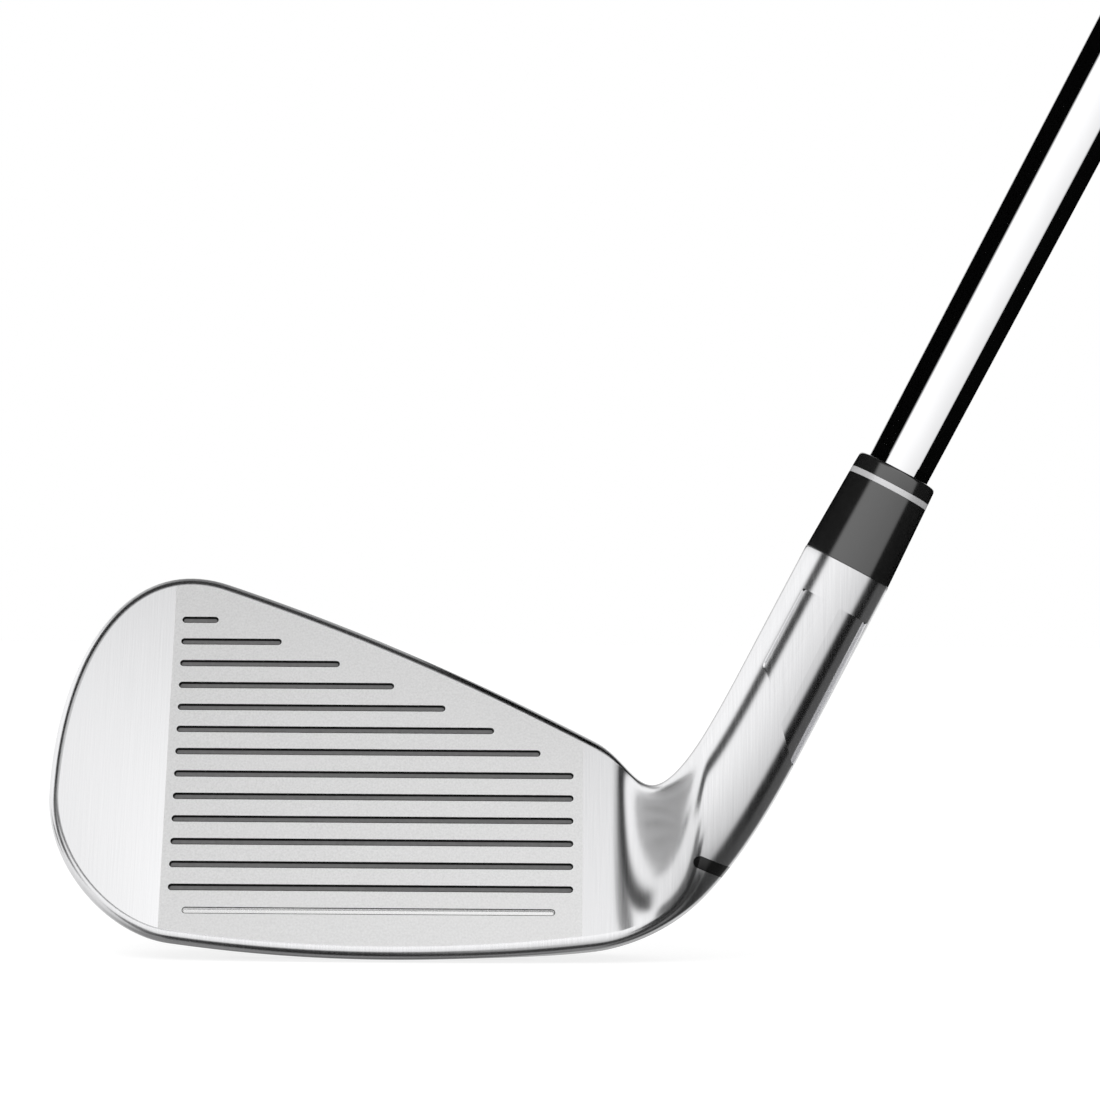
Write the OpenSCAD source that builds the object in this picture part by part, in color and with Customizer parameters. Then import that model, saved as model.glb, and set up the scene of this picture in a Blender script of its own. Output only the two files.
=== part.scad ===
// Iron golf club, right-handed, set down at address.
// The origin is where the shaft's axis meets the ground. +X runs from the toe to the heel and the
// grip, +Y from the strike face to the back, +Z up. Sizes are in millimetres and degrees.

/* [Club] */
// Length along the shaft, from the ground to the end of the grip
club_length = 940; // [780:1:1150]
// Angle between the shaft and the ground
lie = 62.5; // [60:0.5:65]
// Angle of the face, laid back from upright
loft = 28.5; // [24:0.5:33]
// How far the foot of the face stands in front of the shaft's axis
face_lead = 3.8; // [2.5:0.1:5]

/* [Blade outline] */
// Distance from the shaft's foot to the tip of the toe
toe_x = 87.3; // [72:0.1:105]
// Height of the tip of the toe
toe_z = 24; // [20:0.5:28]
// Distance from the shaft's foot to where the neck begins
heel_x = 6; // [5:0.5:8]
// Height of the topline where the neck begins
heel_h = 31.4; // [30:0.1:33]
// Slope of the topline there
topline_rise = 26.6; // [22:0.1:30]
// Radius of the topline's crown
topline_r = 312; // [220:1:600]
// Length of the toe's upper rounding
toe_top_w = 25.6; // [20:0.1:32]
// Length of the toe's lower rounding
toe_sole_w = 19; // [15:0.1:24]
// Radius of the sole from heel to toe
sole_r = 250; // [180:1:500]
// Distance from the shaft's foot to the lowest point of the sole
sole_mid = 36; // [30:1:45]

/* [Blade section] */
// Thickness of the topline and of the flat part of the back
back_t = 7.4; // [6.6:0.1:9]
// Rounding between the face and the topline
top_edge = 1.9; // [1:0.1:2.2]
// Rounding between the face and the sole
lead_edge = 2.1; // [1.2:0.1:2.4]
// Depth of the sole from the leading edge to the trailing edge
sole_w = 22.5; // [19:0.5:26]
// Drop of the sole behind the leading edge, which is its bounce
sole_drop = 0.95; // [0.4:0.05:1.4]
// Height of the trailing edge over the leading edge
trail_rise = 2; // [1:0.1:3.5]
// Height of the muscle behind the sole
muscle_h = 10; // [8:0.5:12]
// How quickly the muscle fades up round the toe
toe_fade = 1.75; // [1.2:0.05:2.5]
// Part of the sole's width that it keeps at the heel
heel_keep = 0.72; // [0.6:0.01:1]

/* [Neck and hosel] */
// Diameter of the hosel
hosel_d = 13.4; // [12.8:0.1:14]
// Distance along the shaft from the ground to the top of the hosel
hosel_top = 65.2; // [60:0.1:75]
// Distance along the shaft from the ground to where the neck ends
neck_end = 44; // [42:0.5:46]
// Diameter of the hosel's bore
bore_d = 9.3; // [9.1:0.1:9.6]
// Depth of the hosel's bore
bore_depth = 31; // [26:0.5:34]
// Depth of the two flutes at their outer sides
flute_depth = 0.45; // [0.2:0.05:0.6]
// Width of the heel inlay
inlay_w = 1.85; // [1.2:0.05:2.4]
// Radius of the neck's core under the heel inlay
inlay_core = 5.5; // [5:0.1:6]

/* [Score lines] */
// Painted score lines
score_count = 13; // [8:1:13]
// Distance between two score lines, up the face
score_pitch = 3.66; // [3.2:0.01:3.7]
// Distance up the face to the lowest painted line
score_first = 11.95; // [10:0.05:12.5]
// Width of a score line
score_w = 0.95; // [0.6:0.05:1]
// Depth of a score line
score_depth = 0.5; // [0.3:0.05:0.5]
// Thickness of the paint in a score line
paint_t = 0.16; // [0.1:0.01:0.25]
// Distance from the shaft's foot to the toe end of the score lines
score_toe = 68.4; // [60:0.1:70]
// Distance from the shaft's foot to the heel end of the score lines
score_heel = 9.4; // [8:0.1:14]

/* [Back cap] */
// Thickness of the face wall
face_t = 2.4; // [1.8:0.1:3]
// Thickness of the cap plate
cap_t = 1.5; // [1:0.1:2]
// Distance from the topline's edge to the cap
cap_rim = 8.4; // [8:0.1:10]
// Width of the ledge that the cap is bonded to
ledge_w = 1.6; // [1:0.1:2]
// Thickness of the adhesive film under the cap
glue_t = 0.2; // [0.1:0.05:0.3]
// Gap all round the cap
cap_gap = 0.1; // [0.05:0.05:0.3]
// Height of the cap's lower edge, up the face
cap_low = 28.6; // [28:0.1:32]
// Thickness of the badge plate
badge_t = 0.7; // [0.4:0.1:0.9]
// Depth to which the badge is sunk in the cap
badge_sink = 0.5; // [0.3:0.05:0.6]
// Height of the damper bar behind the face
damper_h = 6; // [4:0.5:7]
// Width of the slot in the sole
slot_w = 2.2; // [1.6:0.1:3]
// Length of the slot in the sole
slot_l = 46; // [34:1:52]
// Depth of the slot in the sole
slot_depth = 4; // [3:0.5:5]

/* [Ferrule] */
// Length of the ferrule
ferrule_l = 15.8; // [13:0.1:26]
// Diameter of the ferrule at the hosel
ferrule_d = 13.3; // [12.8:0.1:14]
// Diameter of the ferrule at its top
ferrule_top_d = 12.2; // [11.4:0.1:13]
// Distance from the ferrule's top to the middle of the ring
ring_in = 2.8; // [2:0.1:5]
// Width of the ring
ring_w = 0.9; // [0.6:0.1:1.4]

/* [Shaft] */
// Diameter of the shaft at its tip
tip_d = 8.8; // [8.6:0.05:9]
// Growth in diameter over each millimetre of the plain tip
tip_taper = 0.0116; // [0.008:0.0001:0.013]
// Distance along the shaft from the ground to the first step
first_step = 190; // [150:1:230]
// Number of steps
step_count = 15; // [8:1:16]
// Diameter of the shaft at its butt
butt_d = 15.24; // [14.2:0.01:15.8]
// Wall of the shaft
shaft_wall = 0.45; // [0.35:0.05:0.9]
// Wall of the shaft at its tip
tip_wall = 0.9; // [0.7:0.05:1.3]
// Length of the weight plug in the tip
plug_l = 24; // [15:1:28]

/* [Grip] */
// Length of the grip
grip_l = 267; // [230:1:300]
// Diameter of the grip at its mouth
grip_mouth_d = 17.6; // [17:0.1:19]
// Diameter of the grip at its cap
grip_butt_d = 25.4; // [22:0.1:28]
// Diameter of the cap's rim
cap_rim_d = 27.4; // [25.6:0.1:30]
// Height of the grip's cap
grip_cap_h = 7; // [5:0.5:10]
// Diameter of the vent hole in the cap
vent_d = 3; // [2:0.1:4]
// Thickness of the tape under the grip
tape_t = 0.25; // [0.1:0.05:0.4]

/* [Hidden] */
$fn = 96;

// Numbers of stations and of points in each rounded corner of the blade's section
top_n = 12;
toe_n = 10;
neck_n = 14;
face_mid_n = 8;
back_mid_n = 3;

// Colours
steel = "#c9cacc";
dark_steel = "#8d8f92";
black = "#141414";
silver = "#d9dadc";

function mix(a, b, t) = a + (b - a) * t;
function ease(t) = let (c = min(1, max(0, t))) c * c * (3 - 2 * c);
function unit(v) = v / norm(v);
function flat(lists) = [for (list = lists) each list];

// A cubic curve from p[0] to p[3], pulled towards p[1] and p[2]
function cubic(p, t) =
  pow(1 - t, 3) * p[0] + 3 * t * pow(1 - t, 2) * p[1] + 3 * t * t * (1 - t) * p[2] + pow(t, 3) * p[3];

// n points round the corner c between a and b, on an arc that starts and ends at d from it
function corner(a, c, b, d, n) =
  let (u = unit(a - c), v = unit(b - c), p = c + d * u, q = c + d * v)
  let (w = sqrt(max(0, 1 - u * v) / 2))
  [for (k = [0:n - 1]) let (t = k / (n - 1), i = pow(1 - t, 2), j = 2 * w * t * (1 - t), m = t * t)
    (i * p + j * c + m * q) / (i + j + m)];

// A closed outline with each corner rounded, from its corners and their setbacks
function rounded(pts, setback, n = 9) =
  let (m = len(pts))
  flat([for (k = [0:m - 1]) corner(pts[(k + m - 1) % m], pts[k], pts[(k + 1) % m], setback, n)]);

// The corners of an anticlockwise outline, moved in by d
function inset(pts, d) =
  let (m = len(pts))
  [for (k = [0:m - 1])
    let (e = unit(pts[k] - pts[(k + m - 1) % m]), f = unit(pts[(k + 1) % m] - pts[k]))
    let (g = [-e.y, e.x], h = [-f.y, f.x])
    pts[k] + d * (g + h) / (1 + g * h)];

// ---- The frame of the face: x along it, u up it and w into the head ----
function from_face(x, u, w) =
  [x, -face_lead + u * sin(loft) + w * cos(loft), u * cos(loft) - w * sin(loft)];

// Draws its children in the frame of the face, where -Z runs into the head
module on_face() {
  translate([0, -face_lead, 0]) rotate([90 - loft, 0, 0]) children();
}

// Extrudes an outline on the face from one depth to another
module slab(pts, from, to) {
  on_face() translate([0, 0, -to]) linear_extrude(to - from) polygon(pts);
}

// ---- The frame of the shaft: +Z runs up its axis from the ground ----
function from_shaft(side, along) =
  [along * cos(lie) + side * sin(lie), along * sin(lie) - side * cos(lie)];

module on_shaft() {
  rotate([0, 90 - lie, 0]) children();
}

// ---- The blade's outline in the plane of the face ----
// A rounded edge lies a little lower than the sharp corner that it replaces
edge_fall = top_edge * (cos(loft) + sin(loft) - 1);
// The leading edge lies over the lowest line of the sole, by this share of the sole's drop
lift_share = 0.65;
edge_lift = lift_share * sole_drop;
toe_u = toe_z / cos(loft);
fan_x = -(toe_x - toe_top_w);
// Height up the face that the toe's spokes start from
fan_u = 32;

function topline_z(x) = let (d = -x - heel_x) heel_h + d * tan(topline_rise) - d * d / (2 * topline_r);
function sole_z(x) = pow(x + sole_mid, 2) / (2 * sole_r);
function top_u(x) = (topline_z(x) + edge_fall) / cos(loft);
function sole_u(x) = (sole_z(x) + edge_lift) / cos(loft);

function toe_top(a) = let (x = -toe_x + toe_top_w * (1 - sin(a))) [x, mix(toe_u, top_u(x), cos(a))];
function toe_sole(a) = let (x = -toe_x + toe_sole_w * (1 - sin(a))) [x, mix(toe_u, sole_u(x), cos(a))];

// Each spoke is the outline's point, and the direction there that the section runs out in
function spoke(p, out) = [p, out];
function toe_spoke(p) = spoke(p, unit(p - [fan_x, fan_u]));
sole_start = -toe_x + toe_sole_w;
spokes = concat(
  [for (k = [0:top_n]) let (x = mix(-heel_x, fan_x, k / top_n)) spoke([x, top_u(x)], [0, 1])],
  [for (k = [1:toe_n]) toe_spoke(toe_top(90 * k / toe_n))],
  [for (k = [toe_n - 1:-1:0]) toe_spoke(toe_sole(90 * k / toe_n))],
  [for (x = [mix(sole_start, fan_x, 0.5)]) toe_spoke([x, sole_u(x)])],
  [for (k = [top_n:-1:0]) let (x = mix(-heel_x, fan_x, k / top_n)) spoke([x, sole_u(x)], [0, -1])]);

// ---- The blade's section, as corners [out, in depth] from the edge of the face ----
top_corners = [[0, 0], [0, back_t / 2], [0, back_t], [-3, back_t], [-5, back_t], [-7, back_t]];

// A corner of the lower section, from its place behind and over the leading edge
function behind(y, z) = [-(y * sin(loft) + z * cos(loft)), y * cos(loft) - z * sin(loft)];
// Shares of the sole's width at which it is lowest and at which the muscle's shelf starts
low_share = 0.42;
shelf_share = 0.92;
shelf = behind(shelf_share * sole_w, trail_rise + muscle_h);
// Where the muscle has run out into the flat back, and where the lower section ends
shelf_slope = 2.2;
shelf_end = 5.2;
sole_corners = [
  [0, 0],
  behind(low_share * sole_w, -sole_drop),
  behind(sole_w, trail_rise),
  shelf,
  [shelf[0] - shelf_slope, back_t],
  [shelf[0] - shelf_end, back_t]];
// How far each corner's arc starts from the corner, and its number of points
top_setbacks = [top_edge, 0.6, 1.3, 1, 0.8];
sole_setbacks = [lead_edge, 6.2, 2.2, 2.6, 2.6];
corner_n = [7, 5, 6, 5, 4];

// The lower section narrows towards the heel, at the same thickness of the flat back
function narrowed(c, keep) = [c[0] * keep, c[1] > back_t ? mix(back_t, c[1], keep) : c[1]];

function section(low, keep) =
  let (c = [for (k = [0:5]) mix(top_corners[k], narrowed(sole_corners[k], keep), low)])
  let (d = [for (k = [0:4]) mix(top_setbacks[k], sole_setbacks[k] * (k > 0 ? keep : 1), low)])
  flat([for (k = [0:4]) corner(k > 0 ? c[k - 1] : [-9, 0], c[k], c[k + 1], d[k], corner_n[k])]);

// Where the sole starts to narrow, before the neck
narrow_from = 30;
function spoke_points(s) =
  let (p = s[0], out = s[1], low = pow((1 - out[1]) / 2, toe_fade))
  let (keep = mix(1, heel_keep, ease((p.x + narrow_from) / (narrow_from - heel_x))))
  [for (q = section(low, keep)) from_face(p.x + q[0] * out[0], p.y + q[0] * out[1], q[1])];

blade = [for (s = spokes) spoke_points(s)];
row_n = len(blade[0]);
spoke_n = len(blade);

// ---- The neck, in sections that turn from upright to square to the shaft ----
heel_top = blade[0];
heel_low = blade[spoke_n - 1];
heel_ring = concat(
  heel_top,
  [for (k = [1:back_mid_n]) mix(heel_top[row_n - 1], heel_low[row_n - 1], k / (back_mid_n + 1))],
  [for (k = [row_n - 1:-1:0]) heel_low[k]],
  [for (k = [1:face_mid_n]) mix(heel_low[0], heel_top[0], k / (face_mid_n + 1))]);
ring_n = len(heel_ring);
ring_high = max([for (p = heel_ring) p.z]);
ring_low = min([for (p = heel_ring) p.z]);

// The crotch over the neck and the curve under the heel, as [x, z]. The first pull of each runs on
// from the blade, and the second one runs down the hosel's side.
hosel_r = hosel_d / 2;
crotch_pull = [7.5, 29.5];
heel_pull = [15.5, 18];
heel_pull_rise = 2;
crotch = [
  [-heel_x, ring_high],
  [crotch_pull[0] - heel_x, ring_high - crotch_pull[0] * tan(topline_rise)],
  from_shaft(-hosel_r, neck_end - crotch_pull[1]),
  from_shaft(-hosel_r, neck_end)];
heel_curve = [
  [-heel_x, ring_low],
  [heel_pull[0] - heel_x, ring_low + heel_pull_rise],
  from_shaft(hosel_r, neck_end - heel_pull[1]),
  from_shaft(hosel_r, neck_end)];

// Where along X the blade's section starts and ends turning into the round hosel
turn_from = -3.5;
turn_to = 9.5;
front_last = [for (k = [0:row_n - 1]) if (heel_top[k].z == ring_high) k][0];
low_last = [for (k = [0:ring_n - 1]) if (heel_ring[k].z == ring_low) k][0];

function neck_point(k, lo, hi, centre) =
  let (p = heel_ring[k], v = (p.z - ring_low) / (ring_high - ring_low))
  let (q = mix(lo, hi, v), side = k <= front_last || k >= low_last ? -1 : 1)
  let (blade_y = p.y + (q.y - p.z) * tan(loft))
  let (round_y = side * hosel_r * sqrt(max(0, 1 - pow(2 * v - 1, 2))))
  [q.x, mix(blade_y, round_y, ease((q.x - turn_from) / (turn_to - turn_from))), q.y];

function neck_ring(t) =
  let (lo = cubic(heel_curve, t), hi = cubic(crotch, t))
  [for (k = [0:ring_n - 1]) neck_point(k, lo, hi)];

hosel_ring =
  let (lo = from_shaft(hosel_r, hosel_top), hi = from_shaft(-hosel_r, hosel_top))
  [for (k = [0:ring_n - 1]) neck_point(k, lo, hi)];

neck = concat([for (k = [1:neck_n]) neck_ring(k / neck_n)], [hosel_ring]);

// ---- The closed skin of the whole head ----
neck_from = spoke_n * row_n;
// The numbers of the heel ring's points: its middle points are the first ones after the spokes
mid_from = neck_from;
heel_ids = concat(
  [for (k = [0:row_n - 1]) k],
  [for (k = [0:back_mid_n - 1]) mid_from + k],
  [for (k = [row_n - 1:-1:0]) (spoke_n - 1) * row_n + k],
  [for (k = [0:face_mid_n - 1]) mid_from + back_mid_n + k]);
rings_from = mid_from + back_mid_n + face_mid_n;
function ring_ids(j) = j == 0 ? heel_ids : [for (k = [0:ring_n - 1]) rings_from + (j - 1) * ring_n + k];

skin_points = concat(
  flat(blade),
  [for (k = [0:back_mid_n - 1]) heel_ring[row_n + k]],
  [for (k = [0:face_mid_n - 1]) heel_ring[2 * row_n + back_mid_n + k]],
  flat(neck));

blade_faces = flat([for (j = [0:spoke_n - 2]) flat([for (k = [0:row_n - 2])
  let (a = j * row_n + k, b = a + row_n)
  [[a, b, a + 1], [b, b + 1, a + 1]]])]);
neck_faces = flat([for (j = [0:neck_n]) flat([for (k = [0:ring_n - 1])
  let (m = (k + 1) % ring_n, a = ring_ids(j), b = ring_ids(j + 1))
  [[a[k], a[m], b[k]], [b[k], a[m], b[m]]]])]);

// The flat panels are fans of triangles from a centre point each
face_rim = concat(
  [for (j = [spoke_n - 1:-1:0]) j * row_n],
  [for (k = [face_mid_n - 1:-1:0]) mid_from + back_mid_n + k]);
back_rim = concat(
  [for (j = [0:spoke_n - 1]) j * row_n + row_n - 1],
  [for (k = [back_mid_n - 1:-1:0]) mid_from + k]);
centres_from = rings_from + (neck_n + 1) * ring_n;
face_centre = [fan_x / 2, fan_u - 8];
back_centre = [-45.35, 33.4];
centres = [
  from_face(face_centre.x, face_centre.y, 0),
  from_face(back_centre.x, back_centre.y, back_t),
  let (c = from_shaft(0, hosel_top)) [c.x, 0, c.y]];
function fan(centre, rim) = [for (k = [0:len(rim) - 1]) [centre, rim[k], rim[(k + 1) % len(rim)]]];

module head_skin() {
  polyhedron(
    concat(skin_points, centres),
    concat(
      fan(centres_from, face_rim),
      fan(centres_from + 1, back_rim),
      fan(centres_from + 2, ring_ids(neck_n + 1)),
      blade_faces,
      neck_faces));
}

// ---- What is cut into the head ----
// A slot's outline between two places along x, with round ends
module slot_outline(from, to, w) {
  translate([from + w / 2, -w / 2]) square([to - from - w, w]);
  translate([from + w / 2, 0]) circle(d = w);
  translate([to - w / 2, 0]) circle(d = w);
}

// Where a score line ends towards the heel: at its own margin from the topline
score_margin = 7.2;
function topline_x(z) =
  let (m = topline_r * tan(topline_rise))
  -heel_x - m + sqrt(max(0, m * m - 2 * topline_r * (z - heel_h)));
function score_end(u) = min(-score_heel, topline_x((u + score_margin) * cos(loft) - edge_fall));

module score_line(k, from, to) {
  u = score_first + k * score_pitch;
  on_face() translate([0, u, -to])
    linear_extrude(to - from) slot_outline(-score_toe, score_end(u), score_w);
}

// The lowest line is shorter at both ends and has no paint
bare_ends = [2.2, 2.6];
module bare_line(from, to) {
  on_face() translate([0, score_first - score_pitch, -to]) linear_extrude(to - from)
    slot_outline(bare_ends[0] - score_toe, -score_heel - bare_ends[1], score_w);
}

module score_grooves() {
  for (k = [0:score_count - 1]) score_line(k, -1, score_depth);
  bare_line(-1, score_depth);
}

// The cap's outline, anticlockwise from its heel end, kept inside the flat part of the back
cap_heel = heel_x + 20;
cap_toe = toe_x - 14.8;
// The toe side has three corners: a top one, one pushed out over the toe's tip, and a low one
cap_peak_in = 7.2;
cap_peak_drop = 0.9;
cap_bulge_up = 8;
cap_foot_in = 5;
function cap_top(x) = [x, top_u(x) - cap_rim];
cap_corners = [
  [-cap_heel, cap_low],
  cap_top(-cap_heel),
  cap_top(cap_peak_in - cap_toe) - [0, cap_peak_drop],
  [-cap_toe, toe_u + cap_bulge_up],
  [cap_foot_in - cap_toe, cap_low]];
// The corners' rounding shrinks as the outline is moved in
cap_rounding = 2.4;
rounding_loss = 0.45;
function cap_setback(in) = cap_rounding - rounding_loss * in;
ledge_w_at = back_t - cap_t - glue_t;
plate_w_at = back_t - cap_t;
module cap_slab(in, from, to) {
  slab(rounded(inset(cap_corners, in), cap_setback(in), 6), from, to);
}

// The hollow behind the face and inside the muscle, which opens up into the cap's pocket.
// Its corners are given [up the face, in depth], from behind the leading edge where they can be.
hollow_z = 6;
muscle_wall = 2.4;
trail_wall = 3;
hollow_overlap = 0.8;
hollow_top = cap_low + ledge_w + hollow_overlap;
foot_u = sole_u(-sole_mid);
function in_muscle(y, z) = let (c = behind(y, z)) [foot_u - c[0], -c[1]];
hollow_corners = [
  [(hollow_z + face_t * sin(loft)) / cos(loft), -face_t],
  in_muscle(sole_w - trail_wall, hollow_z - edge_lift),
  [foot_u - shelf[0] - 1, -shelf[1] + muscle_wall],
  [foot_u - sole_corners[4][0], muscle_wall - back_t],
  [hollow_top, muscle_wall - back_t],
  [hollow_top, -face_t]];
hollow_toe = cap_toe - 8;
module hollow() {
  on_face() translate([-hollow_toe, 0, 0]) rotate([90, 0, 90])
    linear_extrude(hollow_toe - cap_heel) polygon(hollow_corners);
}

// The slot in the sole, drawn upright from below the sole
slot_at = [-sole_mid - 2, 4.5];
module sole_slot(top) {
  translate([slot_at.x, slot_at.y, -1])
    linear_extrude(top + 1) slot_outline(-slot_l / 2, slot_l / 2, slot_w);
}

// The heel inlay's band: a bar across the neck, outside a round core that stays
inlay_at = [8.8, 15.2];
inlay_turn = 24;
inlay_reach = 14;
core_back = 2.3;
module inlay_band() {
  translate([inlay_at.x, 0, inlay_at.y]) rotate([0, inlay_turn, 0]) difference() {
    translate([0, hosel_d, 0]) rotate([90, 0, 0])
      linear_extrude(2 * hosel_d) slot_outline(-inlay_w / 2, inlay_reach, inlay_w);
    translate([-core_back, 0, -hosel_d]) cylinder(r = inlay_core, h = 2 * hosel_d);
  }
}

// A flute: an outline seen from the front, anticlockwise, over the hosel's round face moved aside
// and a little smaller, so that the flute dies out at its inner side
flute_drop = 6.1;
flute_fade = [0.06, 0.04];
flute_hi = hosel_top - flute_drop;
toe_flute = [[-4.4, 0], [-4.4, -11.7], [-1.1, -15], [-1.1, 0]];
heel_flute = [[1.5, 0], [1.9, -18.4], [6.5, -23.3], [6.1, 0]];
module flute(outline, aside) {
  on_shaft() translate([0, 0, flute_hi]) difference() {
    rotate([90, 0, 0]) linear_extrude(hosel_d) polygon(outline);
    translate([aside, -flute_fade[0], -2 * hosel_d])
      cylinder(r = hosel_r - flute_fade[1], h = 3 * hosel_d);
  }
}

module flutes() {
  flute(toe_flute, flute_depth);
  flute(heel_flute, -flute_depth);
}

module head_body() {
  color(steel) difference() {
    head_skin();
    on_shaft() translate([0, 0, hosel_top - bore_depth]) cylinder(d = bore_d, h = bore_depth + 1);
    cap_slab(0, ledge_w_at, back_t + 1);
    cap_slab(ledge_w, face_t, ledge_w_at + 1);
    hollow();
    score_grooves();
    sole_slot(slot_depth);
    inlay_band();
    flutes();
  }
}

// ---- The back: a bonded cap with a plain badge, and what it closes in ----
module back_cap() {
  color(dark_steel) difference() {
    cap_slab(cap_gap, plate_w_at, back_t);
    cap_slab(badge_in, back_t - badge_sink, back_t + 1);
  }
}

badge_in = 2.5;
module cap_badge() {
  color(black) cap_slab(badge_in + cap_gap, back_t - badge_sink, back_t - badge_sink + badge_t);
}

module cap_adhesive() {
  color("#d8c9a0") difference() {
    cap_slab(cap_gap, ledge_w_at, plate_w_at);
    cap_slab(ledge_w, ledge_w_at - 1, plate_w_at + 1);
  }
}

// The damper bar fills the pocket's depth, low behind the face
pocket_low = cap_low + ledge_w;
damper_gap = 0.3;
damper_toe = 14.5 - cap_toe;
damper_heel = -cap_heel - 4.5;
module face_damper() {
  color("#3a5fa8") on_face() translate([0, pocket_low + damper_gap + damper_h / 2, -plate_w_at])
    linear_extrude(plate_w_at - face_t) slot_outline(damper_toe, damper_heel, damper_h);
}

weight_d = 7;
weight_in = 7.8;
module toe_weight() {
  color("#70747a") on_face() translate([weight_in - cap_toe, toe_u + cap_bulge_up, -ledge_w_at])
    cylinder(d = weight_d, h = ledge_w_at - face_t);
}

// The insert's lower face follows the sole, a little above it
insert_up = 0.4;
module sole_slot_insert() {
  color(black) intersection() {
    sole_slot(slot_depth);
    translate([-sole_mid, slot_at.y + slot_w, sole_r + insert_up]) rotate([90, 0, 0])
      cylinder(r = sole_r, h = 2 * slot_w, $fn = 256);
  }
}

module heel_inlay() {
  color(black) intersection() {
    head_skin();
    inlay_band();
  }
}

module score_line_paint() {
  color("#2a2a2a") for (k = [0:score_count - 1]) score_line(k, score_depth - paint_t, score_depth);
}

// ---- The shaft ----
grip_from = club_length - grip_l;
shaft_from = hosel_top - bore_depth + 0.5;
shaft_to = club_length - grip_cap_h;
plain_butt = 33;
step_pitch = (grip_from - plain_butt - first_step) / (step_count - 1);
step_ramp = 1.2;
function plain_r(a) = tip_d / 2 + (a - shaft_from) * tip_taper / 2;
step_r = (butt_d / 2 - plain_r(first_step)) / step_count;
function inner_r(a) = plain_r(a) - mix(tip_wall, shaft_wall, (a - shaft_from) / (first_step - shaft_from));

// The stepped stretch, as [radius, along], set in by a wall
function steps(wall) = flat([for (k = [0:step_count - 1])
  let (a = first_step + k * step_pitch, r = plain_r(first_step) - wall)
  [[r + k * step_r, a], [r + (k + 1) * step_r, a + step_ramp]]]);
function backwards(list) = [for (k = [len(list) - 1:-1:0]) list[k]];

module turned(pts) {
  on_shaft() rotate_extrude() polygon(pts);
}

module shaft() {
  color("#e4e5e7") turned(concat(
    [[plain_r(shaft_from), shaft_from]],
    steps(0),
    [[butt_d / 2, shaft_to], [butt_d / 2 - shaft_wall, shaft_to]],
    backwards(steps(shaft_wall)),
    [[inner_r(shaft_from), shaft_from]]));
}

plug_from = shaft_from + 2;
module tip_weight() {
  color("#b08d4a") turned([
    [0, plug_from],
    [inner_r(plug_from), plug_from],
    [inner_r(plug_from + plug_l), plug_from + plug_l],
    [0, plug_from + plug_l]]);
}

module hosel_bond() {
  color("#c9b98a") turned([
    [plain_r(shaft_from), shaft_from],
    [bore_d / 2, shaft_from],
    [bore_d / 2, hosel_top],
    [plain_r(hosel_top), hosel_top]]);
}

// ---- The ferrule: a sleeve, a bright ring and a collar, stacked on the hosel ----
ferrule_top = hosel_top + ferrule_l;
band_from = ferrule_top - ring_in - ring_w / 2;
band_to = band_from + ring_w;
collar_round = 0.5;
function ferrule_r(a) = mix(ferrule_d, ferrule_top_d, (a - hosel_top) / ferrule_l) / 2;

module ferrule_part(from, to, rounding = 0, n = 6) {
  turned(concat(
    [[plain_r(from), from], [ferrule_r(from), from], [ferrule_r(to), to - rounding]],
    [for (k = [1:rounding > 0 ? n : 0]) let (t = 90 * k / n)
      [ferrule_r(to) - rounding * (1 - cos(t)), to - rounding * (1 - sin(t))]],
    [[plain_r(to), to]]));
}

module ferrule_sleeve() {
  color(black) ferrule_part(hosel_top, band_from);
}

module ferrule_ring() {
  color(silver) ferrule_part(band_from, band_to);
}

module ferrule_collar() {
  color(black) ferrule_part(band_to, ferrule_top, collar_round);
}

// ---- The grip ----
// The tape starts a little inside the grip's mouth
tape_from = grip_from + 2;
module grip_tape() {
  color("#e8e4d8") turned([
    [butt_d / 2, tape_from],
    [butt_d / 2 + tape_t, tape_from],
    [butt_d / 2 + tape_t, shaft_to],
    [butt_d / 2, shaft_to]]);
}

mouth_round = 0.8;
module grip_sleeve() {
  r = butt_d / 2;
  color("#1c1c1c") turned(concat(
    [[r, grip_from]],
    [for (k = [0:6]) let (t = 90 * k / 6)
      [grip_mouth_d / 2 - mouth_round * (1 - sin(t)), grip_from + mouth_round * (1 - cos(t))]],
    [[grip_butt_d / 2, shaft_to],
      [r + tape_t, shaft_to],
      [r + tape_t, tape_from],
      [r, tape_from]]));
}

// The cap closes the end of the sleeve and the shaft, and its rim stands out over the sleeve
cap_round = 2.2;
rim_rise = 1.5;
module grip_cap() {
  r = cap_rim_d / 2;
  color(black) turned(concat(
    [[vent_d / 2, shaft_to], [grip_butt_d / 2, shaft_to], [r, shaft_to + rim_rise]],
    [for (k = [0:6]) let (t = 90 * k / 6)
      [r - cap_round * (1 - cos(t)), club_length - cap_round * (1 - sin(t))]],
    [[vent_d / 2, club_length]]));
}

head_body();
back_cap();
cap_badge();
cap_adhesive();
face_damper();
toe_weight();
sole_slot_insert();
heel_inlay();
score_line_paint();
hosel_bond();
ferrule_sleeve();
ferrule_ring();
ferrule_collar();
tip_weight();
shaft();
grip_tape();
grip_sleeve();
grip_cap();
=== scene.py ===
# %% [markdown]
# # An iron golf club
#
# This lesson dresses a mid-iron that already exists as a CAD frame. The frame holds every piece at its true
# place, so nothing here is moved or resized. The steel head, the ferrule, the shaft and the grip are drawn
# again as finer meshes, because polished metal shows every facet. The hidden pieces keep their CAD meshes
# and only get a finish.
#
# The club stands at address. Its origin is where the shaft's axis meets the ground, +X runs from the toe to
# the grip, +Y from the strike face to the back, and +Z up.

# %% Load the frame
import math

import bmesh
import bpy
import numpy as np
from mathutils import Matrix, Vector
from mathutils.bvhtree import BVHTree
from mathutils.geometry import barycentric_transform


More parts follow.
